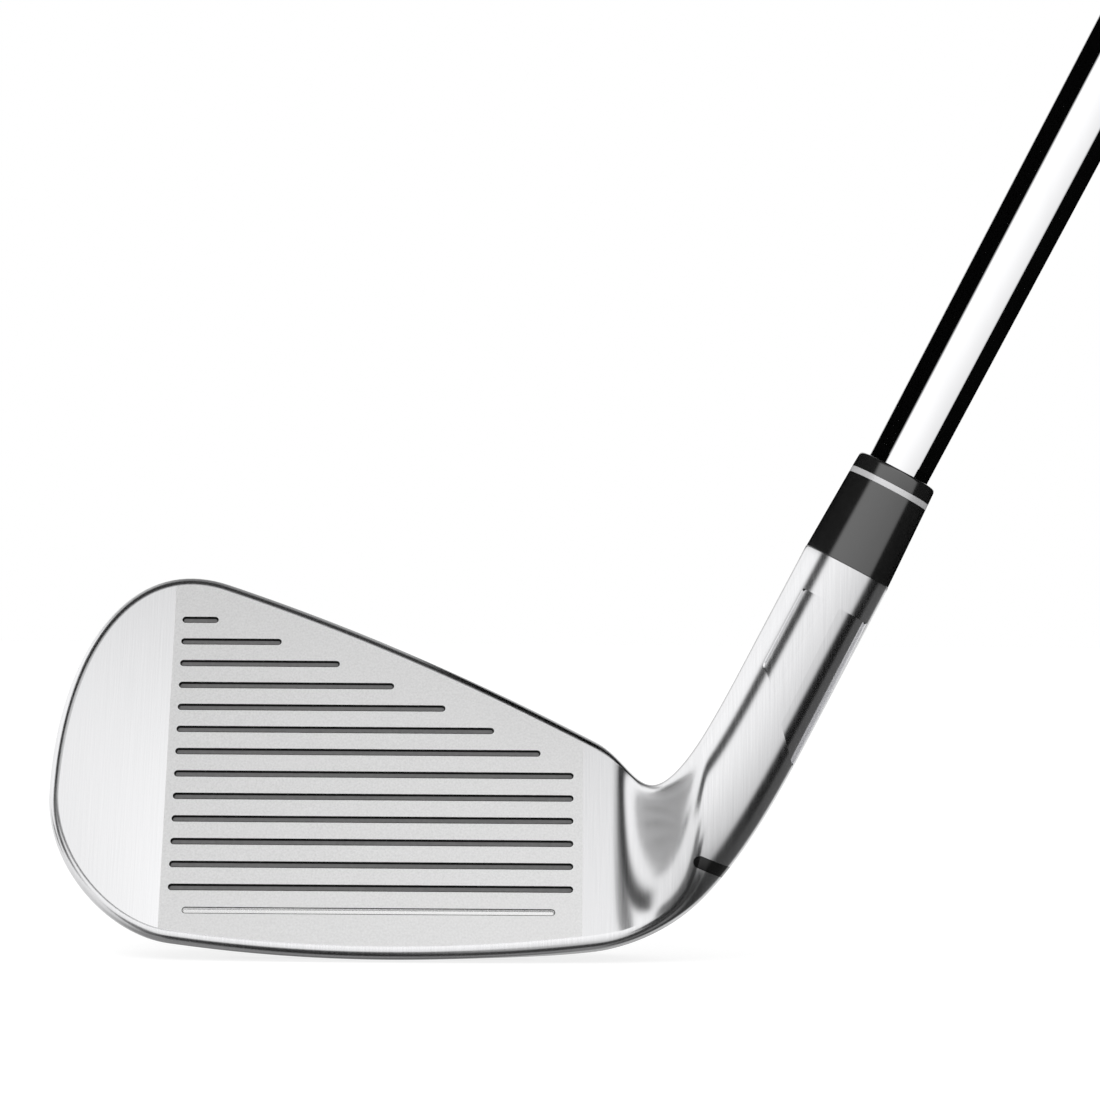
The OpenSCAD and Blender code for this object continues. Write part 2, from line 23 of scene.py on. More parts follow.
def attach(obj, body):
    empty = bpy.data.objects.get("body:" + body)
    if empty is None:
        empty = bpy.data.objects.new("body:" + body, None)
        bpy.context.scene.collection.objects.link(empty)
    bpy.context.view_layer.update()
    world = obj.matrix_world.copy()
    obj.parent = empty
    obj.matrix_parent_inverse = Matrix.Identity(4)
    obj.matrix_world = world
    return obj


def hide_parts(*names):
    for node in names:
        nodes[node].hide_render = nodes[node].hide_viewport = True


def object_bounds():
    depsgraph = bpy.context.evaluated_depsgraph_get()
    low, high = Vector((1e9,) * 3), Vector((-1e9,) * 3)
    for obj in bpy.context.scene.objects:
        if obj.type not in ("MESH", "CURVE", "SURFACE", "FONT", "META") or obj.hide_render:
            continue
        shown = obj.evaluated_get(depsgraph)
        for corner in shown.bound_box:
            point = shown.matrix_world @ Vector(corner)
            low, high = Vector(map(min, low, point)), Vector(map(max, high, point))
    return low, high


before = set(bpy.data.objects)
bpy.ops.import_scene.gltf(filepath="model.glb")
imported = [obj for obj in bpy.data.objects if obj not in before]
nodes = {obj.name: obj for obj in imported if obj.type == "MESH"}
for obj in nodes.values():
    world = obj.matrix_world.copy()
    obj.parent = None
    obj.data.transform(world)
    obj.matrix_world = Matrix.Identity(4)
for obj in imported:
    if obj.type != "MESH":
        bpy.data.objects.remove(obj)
cad_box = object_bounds()
print("nodes:", ", ".join(sorted(nodes)))

# %% [markdown]
# Golf clubs are drawn in millimetres, and Blender works in metres. The sizes below keep the maker's
# millimetres, and one factor turns them into metres when a mesh is made.

# %% Units and small helpers
MM = 0.001
LIE = math.radians(62.5)
LOFT = math.radians(28.5)
FACE_LEAD = 3.8


def mix(a, b, t):
    return a + (b - a) * t


def ease(t):
    t = min(1, max(0, t))
    return t * t * (3 - 2 * t)


def unit(v):
    return v / np.linalg.norm(v)


def from_face(x, u, w):
    """A point given along the face, up it and into the head, in millimetres."""
    y = -FACE_LEAD + u * math.sin(LOFT) + w * math.cos(LOFT)
    return np.array([x, y, u * math.cos(LOFT) - w * math.sin(LOFT)])


def from_shaft(side, along):
    """A point beside the shaft's axis, as [x, z]."""
    x = along * math.cos(LIE) + side * math.sin(LIE)
    return np.array([x, along * math.sin(LIE) - side * math.cos(LIE)])


# Matrices that carry a mesh from the face's frame, and from the shaft's, into the club's
ON_FACE = Matrix.Translation((0, -FACE_LEAD * MM, 0)) @ Matrix.Rotation(math.pi / 2 - LOFT, 4, "X")
ON_SHAFT = Matrix.Rotation(math.pi / 2 - LIE, 4, "Y")

# %% [markdown]
# Node trees, for materials, light and geometry alike, are built with one helper. It adds a node, sets its
# properties, and either links or sets each input, so that a tree reads from top to bottom like a recipe.


# %% A helper for node trees
def add_node(tree, kind, inputs=None, **settings):
    made = tree.nodes.new(kind)
    for key, value in settings.items():
        setattr(made, key, value)
    for key, value in (inputs or {}).items():
        if isinstance(value, bpy.types.NodeSocket):
            tree.links.new(value, made.inputs[key])
        else:
            made.inputs[key].default_value = value
    return made


# %% [markdown]
# ## Finishes
#
# Almost every finish on a club is one idea with other numbers: a grain, long one way or even, that changes
# the colour, the gloss and the height a little. Brushed steel has a grain of a tenth of a millimetre across
# and several along, blasted steel an even one. A single function makes them all, and reads Object
# coordinates, so that the grain is fixed to the piece.


# %% A function for finishes
def finish(name, dark, light, grain, rough, bump=0.0, metallic=0.0, contrast=0.3, detail=3.0, **sockets):
    material = bpy.data.materials.new(name)
    material.use_nodes = True
    tree = material.node_tree
    shader = tree.nodes["Principled BSDF"]
    place = add_node(tree, "ShaderNodeTexCoord")
    scale = [1 / (g * MM) for g in grain]
    mapping = add_node(tree, "ShaderNodeMapping", {"Vector": place.outputs["Object"], "Scale": scale})
    noise = add_node(tree, "ShaderNodeTexNoise", {
        "Vector": mapping.outputs[0], "Scale": 1.0, "Detail": detail})
    wave = add_node(tree, "ShaderNodeMapRange", {
        "Value": noise.outputs["Fac"], "From Min": 0.5 - contrast, "From Max": 0.5 + contrast})
    colour = add_node(tree, "ShaderNodeMix", {
        0: wave.outputs[0], 6: (*dark, 1), 7: (*light, 1)}, data_type="RGBA")
    gloss = add_node(tree, "ShaderNodeMapRange", {
        "Value": wave.outputs[0], "To Min": rough[0], "To Max": rough[1]})
    tree.links.new(colour.outputs[2], shader.inputs["Base Color"])
    tree.links.new(gloss.outputs[0], shader.inputs["Roughness"])
    if bump:
        height = add_node(tree, "ShaderNodeBump", {
            "Height": noise.outputs["Fac"], "Distance": bump * MM, "Strength": 1.0})
        tree.links.new(height.outputs[0], shader.inputs["Normal"])
    shader.inputs["Metallic"].default_value = metallic
    for key, value in sockets.items():
        shader.inputs[key.replace("_", " ")].default_value = value
    return material


# %% [markdown]
# The head is one steel with several finishes. The neck and sole are brushed in one direction and the toe
# more finely, the middle of the face is blasted so that it grips the ball, the grooves' walls and edges are
# near-black as painted shade, the flutes are bright, and the cuts that nobody polishes are plain milled
# metal.

# %% Steel finishes
brushed = finish("brushed_steel", (0.70, 0.70, 0.71), (0.80, 0.80, 0.81), (0.16, 9, 9), (0.17, 0.24),
                 bump=0.0009, metallic=1.0)
flute_steel = finish("flute_steel", (0.66, 0.66, 0.67), (0.78, 0.78, 0.79), (0.16, 9, 9), (0.16, 0.22),
                     bump=0.0009, metallic=1.0)
flute_wall = finish("flute_wall", (0.80, 0.80, 0.81), (0.90, 0.90, 0.91), (0.3, 0.3, 0.3), (0.08, 0.12),
                    metallic=1.0)
toe_brushed = finish("toe_brushed_steel", (0.82, 0.82, 0.83), (0.90, 0.90, 0.91), (0.14, 12, 12),
                     (0.10, 0.14), bump=0.0004, metallic=1.0)
blasted = finish("blasted_steel", (0.86, 0.86, 0.86), (1.0, 1.0, 1.0), (0.3, 0.3, 0.3), (0.36, 0.46),
                 bump=0.012, metallic=1.0, contrast=0.2, detail=4.0)
# Painted shade: a near-black, dull finish on the lips round every score line, on the painted lines' walls, in
# the sole slot and in the inlay's groove, standing for the shade in them.
groove_painted_shade = finish("groove_wall_painted_shade", (0.004, 0.004, 0.004), (0.008, 0.008, 0.008), (0.4, 0.4, 0.4), (0.5, 0.6),
                     Specular_IOR_Level=0.1)
groove_lip = finish("groove_lip", (0.80, 0.80, 0.80), (0.88, 0.88, 0.88), (0.3, 0.3, 0.3), (0.2, 0.3),
                    metallic=1.0)
milled = finish("milled_steel", (0.42, 0.42, 0.43), (0.55, 0.55, 0.56), (0.3, 3, 3), (0.25, 0.4),
                bump=0.004, metallic=1.0)
cap_steel = finish("cap_steel", (0.20, 0.205, 0.21), (0.28, 0.285, 0.29), (6, 0.15, 0.15), (0.28, 0.38),
                   bump=0.002, metallic=1.0)
tungsten = finish("sintered_tungsten", (0.30, 0.30, 0.32), (0.42, 0.42, 0.44), (0.5, 0.5, 0.5), (0.4, 0.6),
                  bump=0.01, metallic=1.0)

# %% [markdown]
# The rest is chrome plate, black plastic, rubber, resin, paper and brass.

# %% Other finishes
chrome = finish("chrome_plate", (0.90, 0.90, 0.91), (0.94, 0.94, 0.95), (3, 3, 40), (0.03, 0.06),
                metallic=1.0)
bright_ring = finish("satin_aluminium", (0.62, 0.62, 0.63), (0.70, 0.70, 0.71), (0.5, 0.5, 0.5),
                     (0.3, 0.4), metallic=0.3)
ferrule_black = finish("polished_black", (0.010, 0.010, 0.010), (0.014, 0.014, 0.014), (0.8, 0.8, 0.8),
                       (0.14, 0.2), IOR=1.75, Coat_Weight=1.0, Coat_Roughness=0.12)
inlay_black = finish("gloss_black_fill", (0.004, 0.004, 0.004), (0.007, 0.007, 0.007), (1.5, 1.5, 1.5),
                     (0.08, 0.14), Coat_Weight=0.3)
line_paint = finish("line_paint", (0.12, 0.12, 0.12), (0.17, 0.17, 0.17), (0.5, 0.5, 0.5), (0.5, 0.65),
                    bump=0.01)
badge_black = finish("badge_black", (0.012, 0.012, 0.013), (0.02, 0.02, 0.021), (0.2, 0.2, 0.2), (0.3, 0.42),
                     bump=0.004, Coat_Weight=0.4)
grip_rubber = finish("grip_rubber", (0.016, 0.016, 0.017), (0.03, 0.03, 0.031), (0.6, 0.6, 0.6), (0.6, 0.8),
                     bump=0.03)
cap_rubber = finish("cap_rubber", (0.014, 0.014, 0.014), (0.022, 0.022, 0.022), (1.2, 1.2, 1.2), (0.4, 0.55),
                    bump=0.01)
insert_rubber = finish("insert_rubber", (0.012, 0.012, 0.012), (0.022, 0.022, 0.022), (0.7, 0.7, 0.7),
                       (0.5, 0.7), bump=0.015)
damper_rubber = finish("damper_rubber", (0.07, 0.12, 0.28), (0.10, 0.17, 0.36), (1, 1, 1), (0.6, 0.8),
                       bump=0.02)
resin = finish("cured_resin", (0.62, 0.54, 0.34), (0.74, 0.66, 0.45), (1.5, 1.5, 1.5), (0.25, 0.4),
               bump=0.01, Coat_Weight=0.2)
film = finish("adhesive_film", (0.72, 0.66, 0.46), (0.80, 0.75, 0.58), (0.8, 0.8, 0.8), (0.5, 0.7), bump=0.01)
brass = finish("turned_brass", (0.62, 0.45, 0.19), (0.74, 0.56, 0.27), (3, 3, 0.3), (0.2, 0.35),
               bump=0.003, metallic=1.0)
paper_tape = finish("crepe_tape", (0.66, 0.62, 0.52), (0.80, 0.77, 0.68), (2.5, 2.5, 0.6), (0.7, 0.9),
                    bump=0.05)
print("finishes:", len(bpy.data.materials))


# %% [markdown]
# ## From points to meshes
#
# Two helpers cover nearly all shapes. One turns lists of points and faces into an object. The other skins a
# row of closed rings that all have the same number of points, and closes both ends.


# %% Mesh helpers
def new_piece(name, points, faces, *finishes):
    mesh = bpy.data.meshes.new(name)
    mesh.from_pydata([Vector(p) * MM for p in points], [], faces)
    for material in finishes:
        mesh.materials.append(material)
    mesh.update()
    piece = bpy.data.objects.new(name, mesh)
    bpy.context.scene.collection.objects.link(piece)
    return piece


def loft(name, rings, material, matrix=None):
    """A closed solid through rings of as many points each, with flat ends."""
    n = len(rings[0])
    points = [p for ring in rings for p in ring]
    faces = [list(range(n))[::-1], [(len(rings) - 1) * n + k for k in range(n)]]
    for j in range(len(rings) - 1):
        a, b = j * n, (j + 1) * n
        faces += [[a + k, a + (k + 1) % n, b + (k + 1) % n, b + k] for k in range(n)]
    piece = new_piece(name, points, faces, material)
    if matrix is not None:
        piece.data.transform(matrix)
    return face_outwards(piece)


def face_outwards(piece):
    """Turns a closed mesh's faces outwards if its signed volume says that they point in."""
    mesh = piece.data
    mesh.calc_loop_triangles()
    co = np.array([v.co for v in mesh.vertices])
    tris = co[np.array([t.vertices for t in mesh.loop_triangles])]
    if np.einsum("ij,ij->i", tris[:, 0], np.cross(tris[:, 1], tris[:, 2])).sum() < 0:
        mesh.flip_normals()
    return piece


# %% [markdown]
# ## The head's skin
#
# The blade is not a block with rounded edges. Its section changes all the way round: thin along the topline,
# deep along the sole, and one fades into the other round the toe. So the outline is walked in spokes, and
# each spoke carries one section, drawn from the edge of the face backwards. The flat face and the flat back
# are what the spokes leave open, and each is one large face.

# %% Sizes of the blade, in millimetres
TOE_X, TOE_Z = 87.3, 24
HEEL_X, HEEL_H = 6, 31.4
TOPLINE_RISE, TOPLINE_R = math.radians(26.6), 312
TOE_TOP_W, TOE_SOLE_W = 25.6, 19
SOLE_R, SOLE_MID = 250, 36
BACK_T, TOP_EDGE, LEAD_EDGE = 7.4, 1.9, 2.1
SOLE_W, SOLE_DROP, TRAIL_RISE, MUSCLE_H = 22.5, 0.95, 2, 10
TOE_FADE, HEEL_KEEP, NARROW_FROM = 1.75, 0.72, 30
LIFT_SHARE, FAN_U = 0.65, 32
EDGE_FALL = TOP_EDGE * (math.cos(LOFT) + math.sin(LOFT) - 1)
EDGE_LIFT = LIFT_SHARE * SOLE_DROP
TOE_U = TOE_Z / math.cos(LOFT)
FAN = np.array([-(TOE_X - TOE_TOP_W), FAN_U])


# %% The outline in the plane of the face
def topline_z(x):
    d = -x - HEEL_X
    return HEEL_H + d * math.tan(TOPLINE_RISE) - d * d / (2 * TOPLINE_R)


def top_u(x):
    return (topline_z(x) + EDGE_FALL) / math.cos(LOFT)


def sole_u(x):
    return ((x + SOLE_MID) ** 2 / (2 * SOLE_R) + EDGE_LIFT) / math.cos(LOFT)


def toe_curve(a, width, end_u):
    x = -TOE_X + width * (1 - math.sin(a))
    return np.array([x, mix(TOE_U, end_u(x), math.cos(a))])


def spokes(top_n, toe_n):
    """Each spoke is a point of the outline and the direction there that the section runs out in."""
    xs = [mix(-HEEL_X, FAN[0], k / top_n) for k in range(top_n + 1)]
    turn = [math.pi / 2 * k / toe_n for k in range(toe_n + 1)]
    toe = [toe_curve(a, TOE_TOP_W, top_u) for a in turn[1:]]
    toe += [toe_curve(a, TOE_SOLE_W, sole_u) for a in turn[-2::-1]]
    toe += [np.array([x, sole_u(x)]) for x in np.linspace(toe[-1][0], FAN[0], 5)[1:-1]]
    rows = [(np.array([x, top_u(x)]), np.array([0, 1])) for x in xs]
    rows += [(p, unit(p - FAN)) for p in toe]
    return rows + [(np.array([x, sole_u(x)]), np.array([0, -1])) for x in reversed(xs)]


# %% [markdown]
# A section is a chain of corners, each rounded by a conic arc. Mixing the topline's corners with the sole's
# gives every section between the two.


# %% The section behind the edge
def behind(y, z):
    """A corner of the lower section, from its place behind and over the leading edge."""
    u, w = y * math.sin(LOFT) + z * math.cos(LOFT), y * math.cos(LOFT) - z * math.sin(LOFT)
    return np.array([-u, w])


LOW_SHARE, SHELF_SHARE, SHELF_SLOPE, SHELF_END = 0.42, 0.92, 2.2, 5.2
SHELF = behind(SHELF_SHARE * SOLE_W, TRAIL_RISE + MUSCLE_H)
TOP_CORNERS = np.array([[0, 0], [0, BACK_T / 2], [0, BACK_T], [-3, BACK_T], [-5, BACK_T], [-7, BACK_T]])
SOLE_CORNERS = np.array([
    [0, 0], behind(LOW_SHARE * SOLE_W, -SOLE_DROP), behind(SOLE_W, TRAIL_RISE), SHELF,
    [SHELF[0] - SHELF_SLOPE, BACK_T], [SHELF[0] - SHELF_END, BACK_T]])
TOP_SETBACKS = np.array([TOP_EDGE, 0.6, 1.3, 1, 0.8])
SOLE_SETBACKS = np.array([LEAD_EDGE, 6.2, 2.2, 2.6, 2.6])
CORNER_N = [14, 10, 12, 10, 8]


def corner(a, c, b, d, n):
    """n points round the corner c between a and b, on an arc that starts and ends at d from it."""
    u, v = unit(a - c), unit(b - c)
    p, q = c + d * u, c + d * v
    w = math.sqrt(max(0, 1 - u @ v) / 2)
    t = np.linspace(0, 1, n)[:, None]
    i, j, m = (1 - t) ** 2, 2 * w * t * (1 - t), t * t
    return (i * p + j * c + m * q) / (i + j + m)


def section(low, keep):
    thick = np.where(SOLE_CORNERS[:, 1] > BACK_T, mix(BACK_T, SOLE_CORNERS[:, 1], keep), SOLE_CORNERS[:, 1])
    narrowed = np.column_stack([SOLE_CORNERS[:, 0] * keep, thick])
    c = mix(TOP_CORNERS, narrowed, low)
    d = mix(TOP_SETBACKS, SOLE_SETBACKS * [1, keep, keep, keep, keep], low)
    before = [np.array([-9.0, 0.0]), *c[:-2]]
    return np.vstack([corner(before[k], c[k], c[k + 1], d[k], CORNER_N[k]) for k in range(5)])


def spoke_points(p, out):
    low = ((1 - out[1]) / 2) ** TOE_FADE
    keep = mix(1, HEEL_KEEP, ease((p[0] + NARROW_FROM) / (NARROW_FROM - HEEL_X)))
    return [from_face(p[0] + q[0] * out[0], p[1] + q[0] * out[1], q[1]) for q in section(low, keep)]


blade = np.array([spoke_points(p, out) for p, out in spokes(56, 36)])
print("blade:", blade.shape[0], "spokes of", blade.shape[1], "points")

# %% [markdown]
# The neck starts from the blade's last section and ends as a circle square to the shaft. Two cubic curves,
# the crotch above and the heel below, carry every point along, and the depth eases from the blade's own to
# the round hosel's.

# %% The neck
HOSEL_R, HOSEL_TOP, NECK_END = 6.7, 65.2, 44
NECK_N, BACK_MID_N, FACE_MID_N = 56, 7, 44
TURN_FROM, TURN_TO = -3.5, 9.5

top_row, low_row = blade[0], blade[-1]
back_mid = [mix(top_row[-1], low_row[-1], k / (BACK_MID_N + 1)) for k in range(1, BACK_MID_N + 1)]
face_mid = [mix(low_row[0], top_row[0], (1 - math.cos(math.pi * k / (FACE_MID_N + 1))) / 2)
            for k in range(1, FACE_MID_N + 1)]
heel_ring = np.array([*top_row, *back_mid, *low_row[::-1], *face_mid])
ring_low, ring_high = heel_ring[:, 2].min(), heel_ring[:, 2].max()
crest, foot = heel_ring[:, 2].argmax(), heel_ring[:, 2].argmin()
CROTCH_PULL, HEEL_PULL, HEEL_PULL_RISE = (7.5, 29.5), (15.5, 18), 2
CROTCH = np.array([
    [-HEEL_X, ring_high], [CROTCH_PULL[0] - HEEL_X, ring_high - CROTCH_PULL[0] * math.tan(TOPLINE_RISE)],
    from_shaft(-HOSEL_R, NECK_END - CROTCH_PULL[1]), from_shaft(-HOSEL_R, NECK_END)])
HEEL = np.array([
    [-HEEL_X, ring_low], [HEEL_PULL[0] - HEEL_X, ring_low + HEEL_PULL_RISE],
    from_shaft(HOSEL_R, NECK_END - HEEL_PULL[1]), from_shaft(HOSEL_R, NECK_END)])


def cubic(p, t):
    return (1 - t) ** 3 * p[0] + 3 * t * (1 - t) ** 2 * p[1] + 3 * t * t * (1 - t) * p[2] + t**3 * p[3]


def neck_ring(low, high):
    ring = []
    for k, p in enumerate(heel_ring):
        v = (p[2] - ring_low) / (ring_high - ring_low)
        x, z = mix(low, high, v)
        side = -1 if k <= crest or k >= foot else 1
        blade_y = p[1] + (z - p[2]) * math.tan(LOFT)
        round_y = side * HOSEL_R * math.sqrt(max(0, 1 - (2 * v - 1) ** 2))
        ring.append([x, mix(blade_y, round_y, ease((x - TURN_FROM) / (TURN_TO - TURN_FROM))), z])
    return ring


neck = [neck_ring(cubic(HEEL, k / NECK_N), cubic(CROTCH, k / NECK_N)) for k in range(1, NECK_N + 1)]
neck.append(neck_ring(from_shaft(HOSEL_R, HOSEL_TOP), from_shaft(-HOSEL_R, HOSEL_TOP)))
print("neck:", len(neck), "rings of", len(heel_ring), "points")


# %% [markdown]
# The skin is stitched from the blade's grid and the neck's rings. Its normals are kept aside: where the flat
# panels begin they are the panel's own, so that the flats stay flat and the roundings start without a dent.


# %% The closed skin and its normals
def head_skin():
    spoke_n, row_n, _ = blade.shape
    ring_n = len(heel_ring)
    back_ids = [spoke_n * row_n + k for k in range(BACK_MID_N)]
    face_ids = [back_ids[-1] + 1 + k for k in range(FACE_MID_N)]
    rings_from = face_ids[-1] + 1
    low_ids = [(spoke_n - 1) * row_n + k for k in range(row_n - 1, -1, -1)]
    first = [*range(row_n), *back_ids, *low_ids, *face_ids]
    rings = [first] + [[rings_from + j * ring_n + k for k in range(ring_n)] for j in range(len(neck))]
    points = np.vstack([blade.reshape(-1, 3), back_mid, face_mid, np.array(neck).reshape(-1, 3)])
    grid = [[j * row_n + k, j * row_n + k + 1, (j + 1) * row_n + k + 1, (j + 1) * row_n + k]
            for j in range(spoke_n - 1) for k in range(row_n - 1)]
    grid += [[a[k], b[k], b[(k + 1) % ring_n], a[(k + 1) % ring_n]]
             for a, b in zip(rings, rings[1:]) for k in range(ring_n)]
    face_rim = [j * row_n for j in range(spoke_n)] + face_ids
    back_rim = [j * row_n + row_n - 1 for j in range(spoke_n - 1, -1, -1)] + back_ids
    return points, grid, face_rim, back_rim, rings[-1][::-1]


skin_points, skin_grid, face_rim, back_rim, top_rim = head_skin()
FACE_OUT = np.array([0, -math.cos(LOFT), math.sin(LOFT)])


def grid_normals(points, quads):
    """The normal at each point, from the quads around it, each counted by its size."""
    corners = points[np.array(quads)]
    across = np.cross(corners[:, 2] - corners[:, 0], corners[:, 3] - corners[:, 1])
    normals = np.zeros_like(points)
    for k in range(4):
        np.add.at(normals, np.array(quads)[:, k], across)
    lengths = np.linalg.norm(normals, axis=1, keepdims=True)
    return normals / np.maximum(lengths, 1e-12)


skin = new_piece("skin", skin_points, [*skin_grid, face_rim, back_rim, top_rim], brushed)
skin_normals = grid_normals(skin_points, skin_grid)
face_outwards(skin)
crown = np.argmax(skin_points[:, 1])
if skin_normals[crown][1] < 0:
    skin_normals = -skin_normals
skin_normals[face_rim] = FACE_OUT
skin_normals[back_rim] = -FACE_OUT
print("skin:", len(skin.data.polygons), "faces")

# %% [markdown]
# ## Cutting the head
#
# The bore, the cap's recess, the sole slot, the flutes and the score lines are all cuts. A boolean leaves
# long thin triangles next to a cut, which would show as dents in the reflections. So each cutter brings its
# own material, and later every face that still has the skin's material takes its normals from the uncut
# skin.


# %% Cutting and copying
def frozen(piece, name=None):
    """The evaluated piece as a plain mesh, with no modifiers left."""
    graph = bpy.context.evaluated_depsgraph_get()
    mesh = bpy.data.meshes.new_from_object(piece.evaluated_get(graph), depsgraph=graph)
    piece.modifiers.clear()
    piece.data = mesh
    if name:
        piece.name = mesh.name = name
    return piece


def cut(piece, cutter, operation="DIFFERENCE"):
    modifier = piece.modifiers.new("cut", "BOOLEAN")
    modifier.object = cutter
    modifier.operation = operation
    modifier.solver = "MANIFOLD"
    modifier.material_mode = "TRANSFER"
    frozen(piece)
    bpy.data.objects.remove(cutter)
    return piece


def copy_of(piece, name):
    made = bpy.data.objects.new(name, piece.data.copy())
    bpy.context.scene.collection.objects.link(made)
    return made


head = copy_of(skin, "head")

# %% [markdown]
# The recess in the back, the pocket under it and the sole slot are straight prisms from one outline each.
# The outline is rounded at its corners, and moved in for the ledge, the cap's gap and the badge.

# %% The cap's outline
FACE_T, CAP_T, GLUE_T, CAP_GAP = 2.4, 1.5, 0.2, 0.1
LEDGE_W, CAP_RIM, CAP_LOW = 1.6, 8.4, 28.6
BADGE_IN, BADGE_SINK, BADGE_T = 2.5, 0.5, 0.7
CAP_HEEL, CAP_TOE = HEEL_X + 20, TOE_X - 14.8
# The toe side's corners: a top one, one pushed out over the toe's tip, and a low one
PEAK_IN, PEAK_DROP, BULGE_UP, FOOT_IN = 7.2, 0.9, 8, 5
CAP_ROUNDING, ROUNDING_LOSS = 2.4, 0.45
LEDGE_AT, PLATE_AT = BACK_T - CAP_T - GLUE_T, BACK_T - CAP_T


def cap_top(x):
    return [x, top_u(x) - CAP_RIM]


CAP_CORNERS = np.array([
    [-CAP_HEEL, CAP_LOW], cap_top(-CAP_HEEL), np.array(cap_top(PEAK_IN - CAP_TOE)) - [0, PEAK_DROP],
    [-CAP_TOE, TOE_U + BULGE_UP], [FOOT_IN - CAP_TOE, CAP_LOW]])


def cap_outline(inset):
    """The cap's outline, moved in and rounded, in the plane of the face."""
    pts = []
    for k, p in enumerate(CAP_CORNERS):
        e, f = unit(p - CAP_CORNERS[k - 1]), unit(CAP_CORNERS[(k + 1) % 5] - p)
        g, h = np.array([-e[1], e[0]]), np.array([-f[1], f[0]])
        pts.append(p + inset * (g + h) / (1 + g @ h))
    setback = CAP_ROUNDING - ROUNDING_LOSS * inset
    return np.vstack([corner(pts[k - 1], pts[k], pts[(k + 1) % 5], setback, 12) for k in range(5)])


def slab(name, levels, material):
    """A plate behind the face, through outlines given as pairs of inset and depth."""
    rings = [[(x, u, -w) for x, u in cap_outline(inset)] for inset, w in levels]
    return loft(name, rings, material, ON_FACE)


cut(head, slab("recess", [(0, LEDGE_AT), (0, BACK_T + 1)], milled))
cut(head, slab("pocket", [(LEDGE_W, FACE_T), (LEDGE_W, LEDGE_AT + 0.5)], milled))
print("head after the recess:", len(head.data.polygons), "faces")

# %% [markdown]
# The bore, the sole slot and the muscle's hollow.

# %% Bore, slot and hollow
BORE_R, BORE_DEPTH = 4.65, 31
SLOT_W, SLOT_L, SLOT_DEPTH, SLOT_Y = 2.2, 46, 4, 4.5
HOLLOW_Z, MUSCLE_WALL, TRAIL_WALL = 6, 2.4, 3
HOLLOW_TOP = CAP_LOW + LEDGE_W + 0.8


def circle(r, z, n=128):
    return [(r * math.cos(2 * math.pi * k / n), r * math.sin(2 * math.pi * k / n), z) for k in range(n)]


def stadium(x0, x1, r, n=24):
    """An outline with round ends of radius r about two centres on a line."""
    ends = [(x1, -math.pi / 2), (x0, math.pi / 2)]
    return [(x + r * math.cos(a + math.pi * k / n), r * math.sin(a + math.pi * k / n))
            for x, a in ends for k in range(n + 1)]


bore_rings = [circle(BORE_R, HOSEL_TOP - BORE_DEPTH), circle(BORE_R, HOSEL_TOP + 1)]
cut(head, loft("bore", bore_rings, milled, ON_SHAFT))
slot_x, slot_reach = -SOLE_MID - 2, (SLOT_L - SLOT_W) / 2
slot_ring = stadium(slot_x - slot_reach, slot_x + slot_reach, SLOT_W / 2)
# The slot's walls take the near-black painted shade of the grooves.
cut(head, loft("slot", [[(x, SLOT_Y + y, z) for x, y in slot_ring] for z in (-1, SLOT_DEPTH)], groove_painted_shade))

foot_u = sole_u(-SOLE_MID)


def in_muscle(y, z):
    u, w = behind(y, z)
    return (foot_u - u, w)


hollow = [((HOLLOW_Z + FACE_T * math.sin(LOFT)) / math.cos(LOFT), FACE_T),
          in_muscle(SOLE_W - TRAIL_WALL, HOLLOW_Z - EDGE_LIFT),
          (foot_u - SHELF[0] - 1, SHELF[1] - MUSCLE_WALL),
          (foot_u - SOLE_CORNERS[4][0], BACK_T - MUSCLE_WALL),
          (HOLLOW_TOP, BACK_T - MUSCLE_WALL), (HOLLOW_TOP, FACE_T)]
cut(head, loft("hollow", [[from_face(x, u, w) for u, w in hollow] for x in (8 - CAP_TOE, -CAP_HEEL)], milled))
print("head after the hollow:", len(head.data.polygons), "faces")

# %% [markdown]
# Each flute is a flat-sided pocket whose floor is the hosel's own curve moved a little sideways, so that it
# is deepest at its outer side and dies out at the other. Its walls lean, which gives each edge a thin facet
# that catches the light.

# %% Flutes
FLUTE_DEPTH, FLUTE_DROP = 0.45, 6.1
BEVEL_SLOPE, WALL_DEPTH, WALL_LEAN, FLOOR_LIFT = 0.4, 1.3, 0.7, 0.13
flute_hi = HOSEL_TOP - FLUTE_DROP
TOE_FLUTE = [(-4.4, flute_hi), (-4.4, flute_hi - 11.7), (-1.1, flute_hi - 15), (-1.1, flute_hi)]
HEEL_FLUTE = [(1.5, flute_hi), (1.9, flute_hi - 18.4), (6.5, flute_hi - 23.3), (6.1, flute_hi)]


def flute(outline, aside, outer, bevel):
    """The cutter of one flute, whose rim lies this far out to the side, and whose edge has a bevel."""
    centre = np.mean(outline, axis=0)
    rim = -math.sqrt(HOSEL_R**2 - outer**2)
    rings = []
    for y, grow in ((-HOSEL_R - 1, bevel), (rim, bevel), (rim + BEVEL_SLOPE * bevel, 0),
                    (rim + WALL_DEPTH, -WALL_LEAN), (1, -WALL_LEAN)):
        pts = [np.array(p) + np.sign(p - centre) * grow for p in outline]
        rings.append([(x, y, z) for x, z in pts])
    prism = loft("flute", rings, flute_wall, ON_SHAFT)
    core = [[(x + aside, y - FLOOR_LIFT, z) for x, y, z in circle(HOSEL_R - 0.04, z, 256)]
            for z in (flute_hi - 30, flute_hi + 5)]
    return cut(prism, loft("core", core, flute_steel, ON_SHAFT))


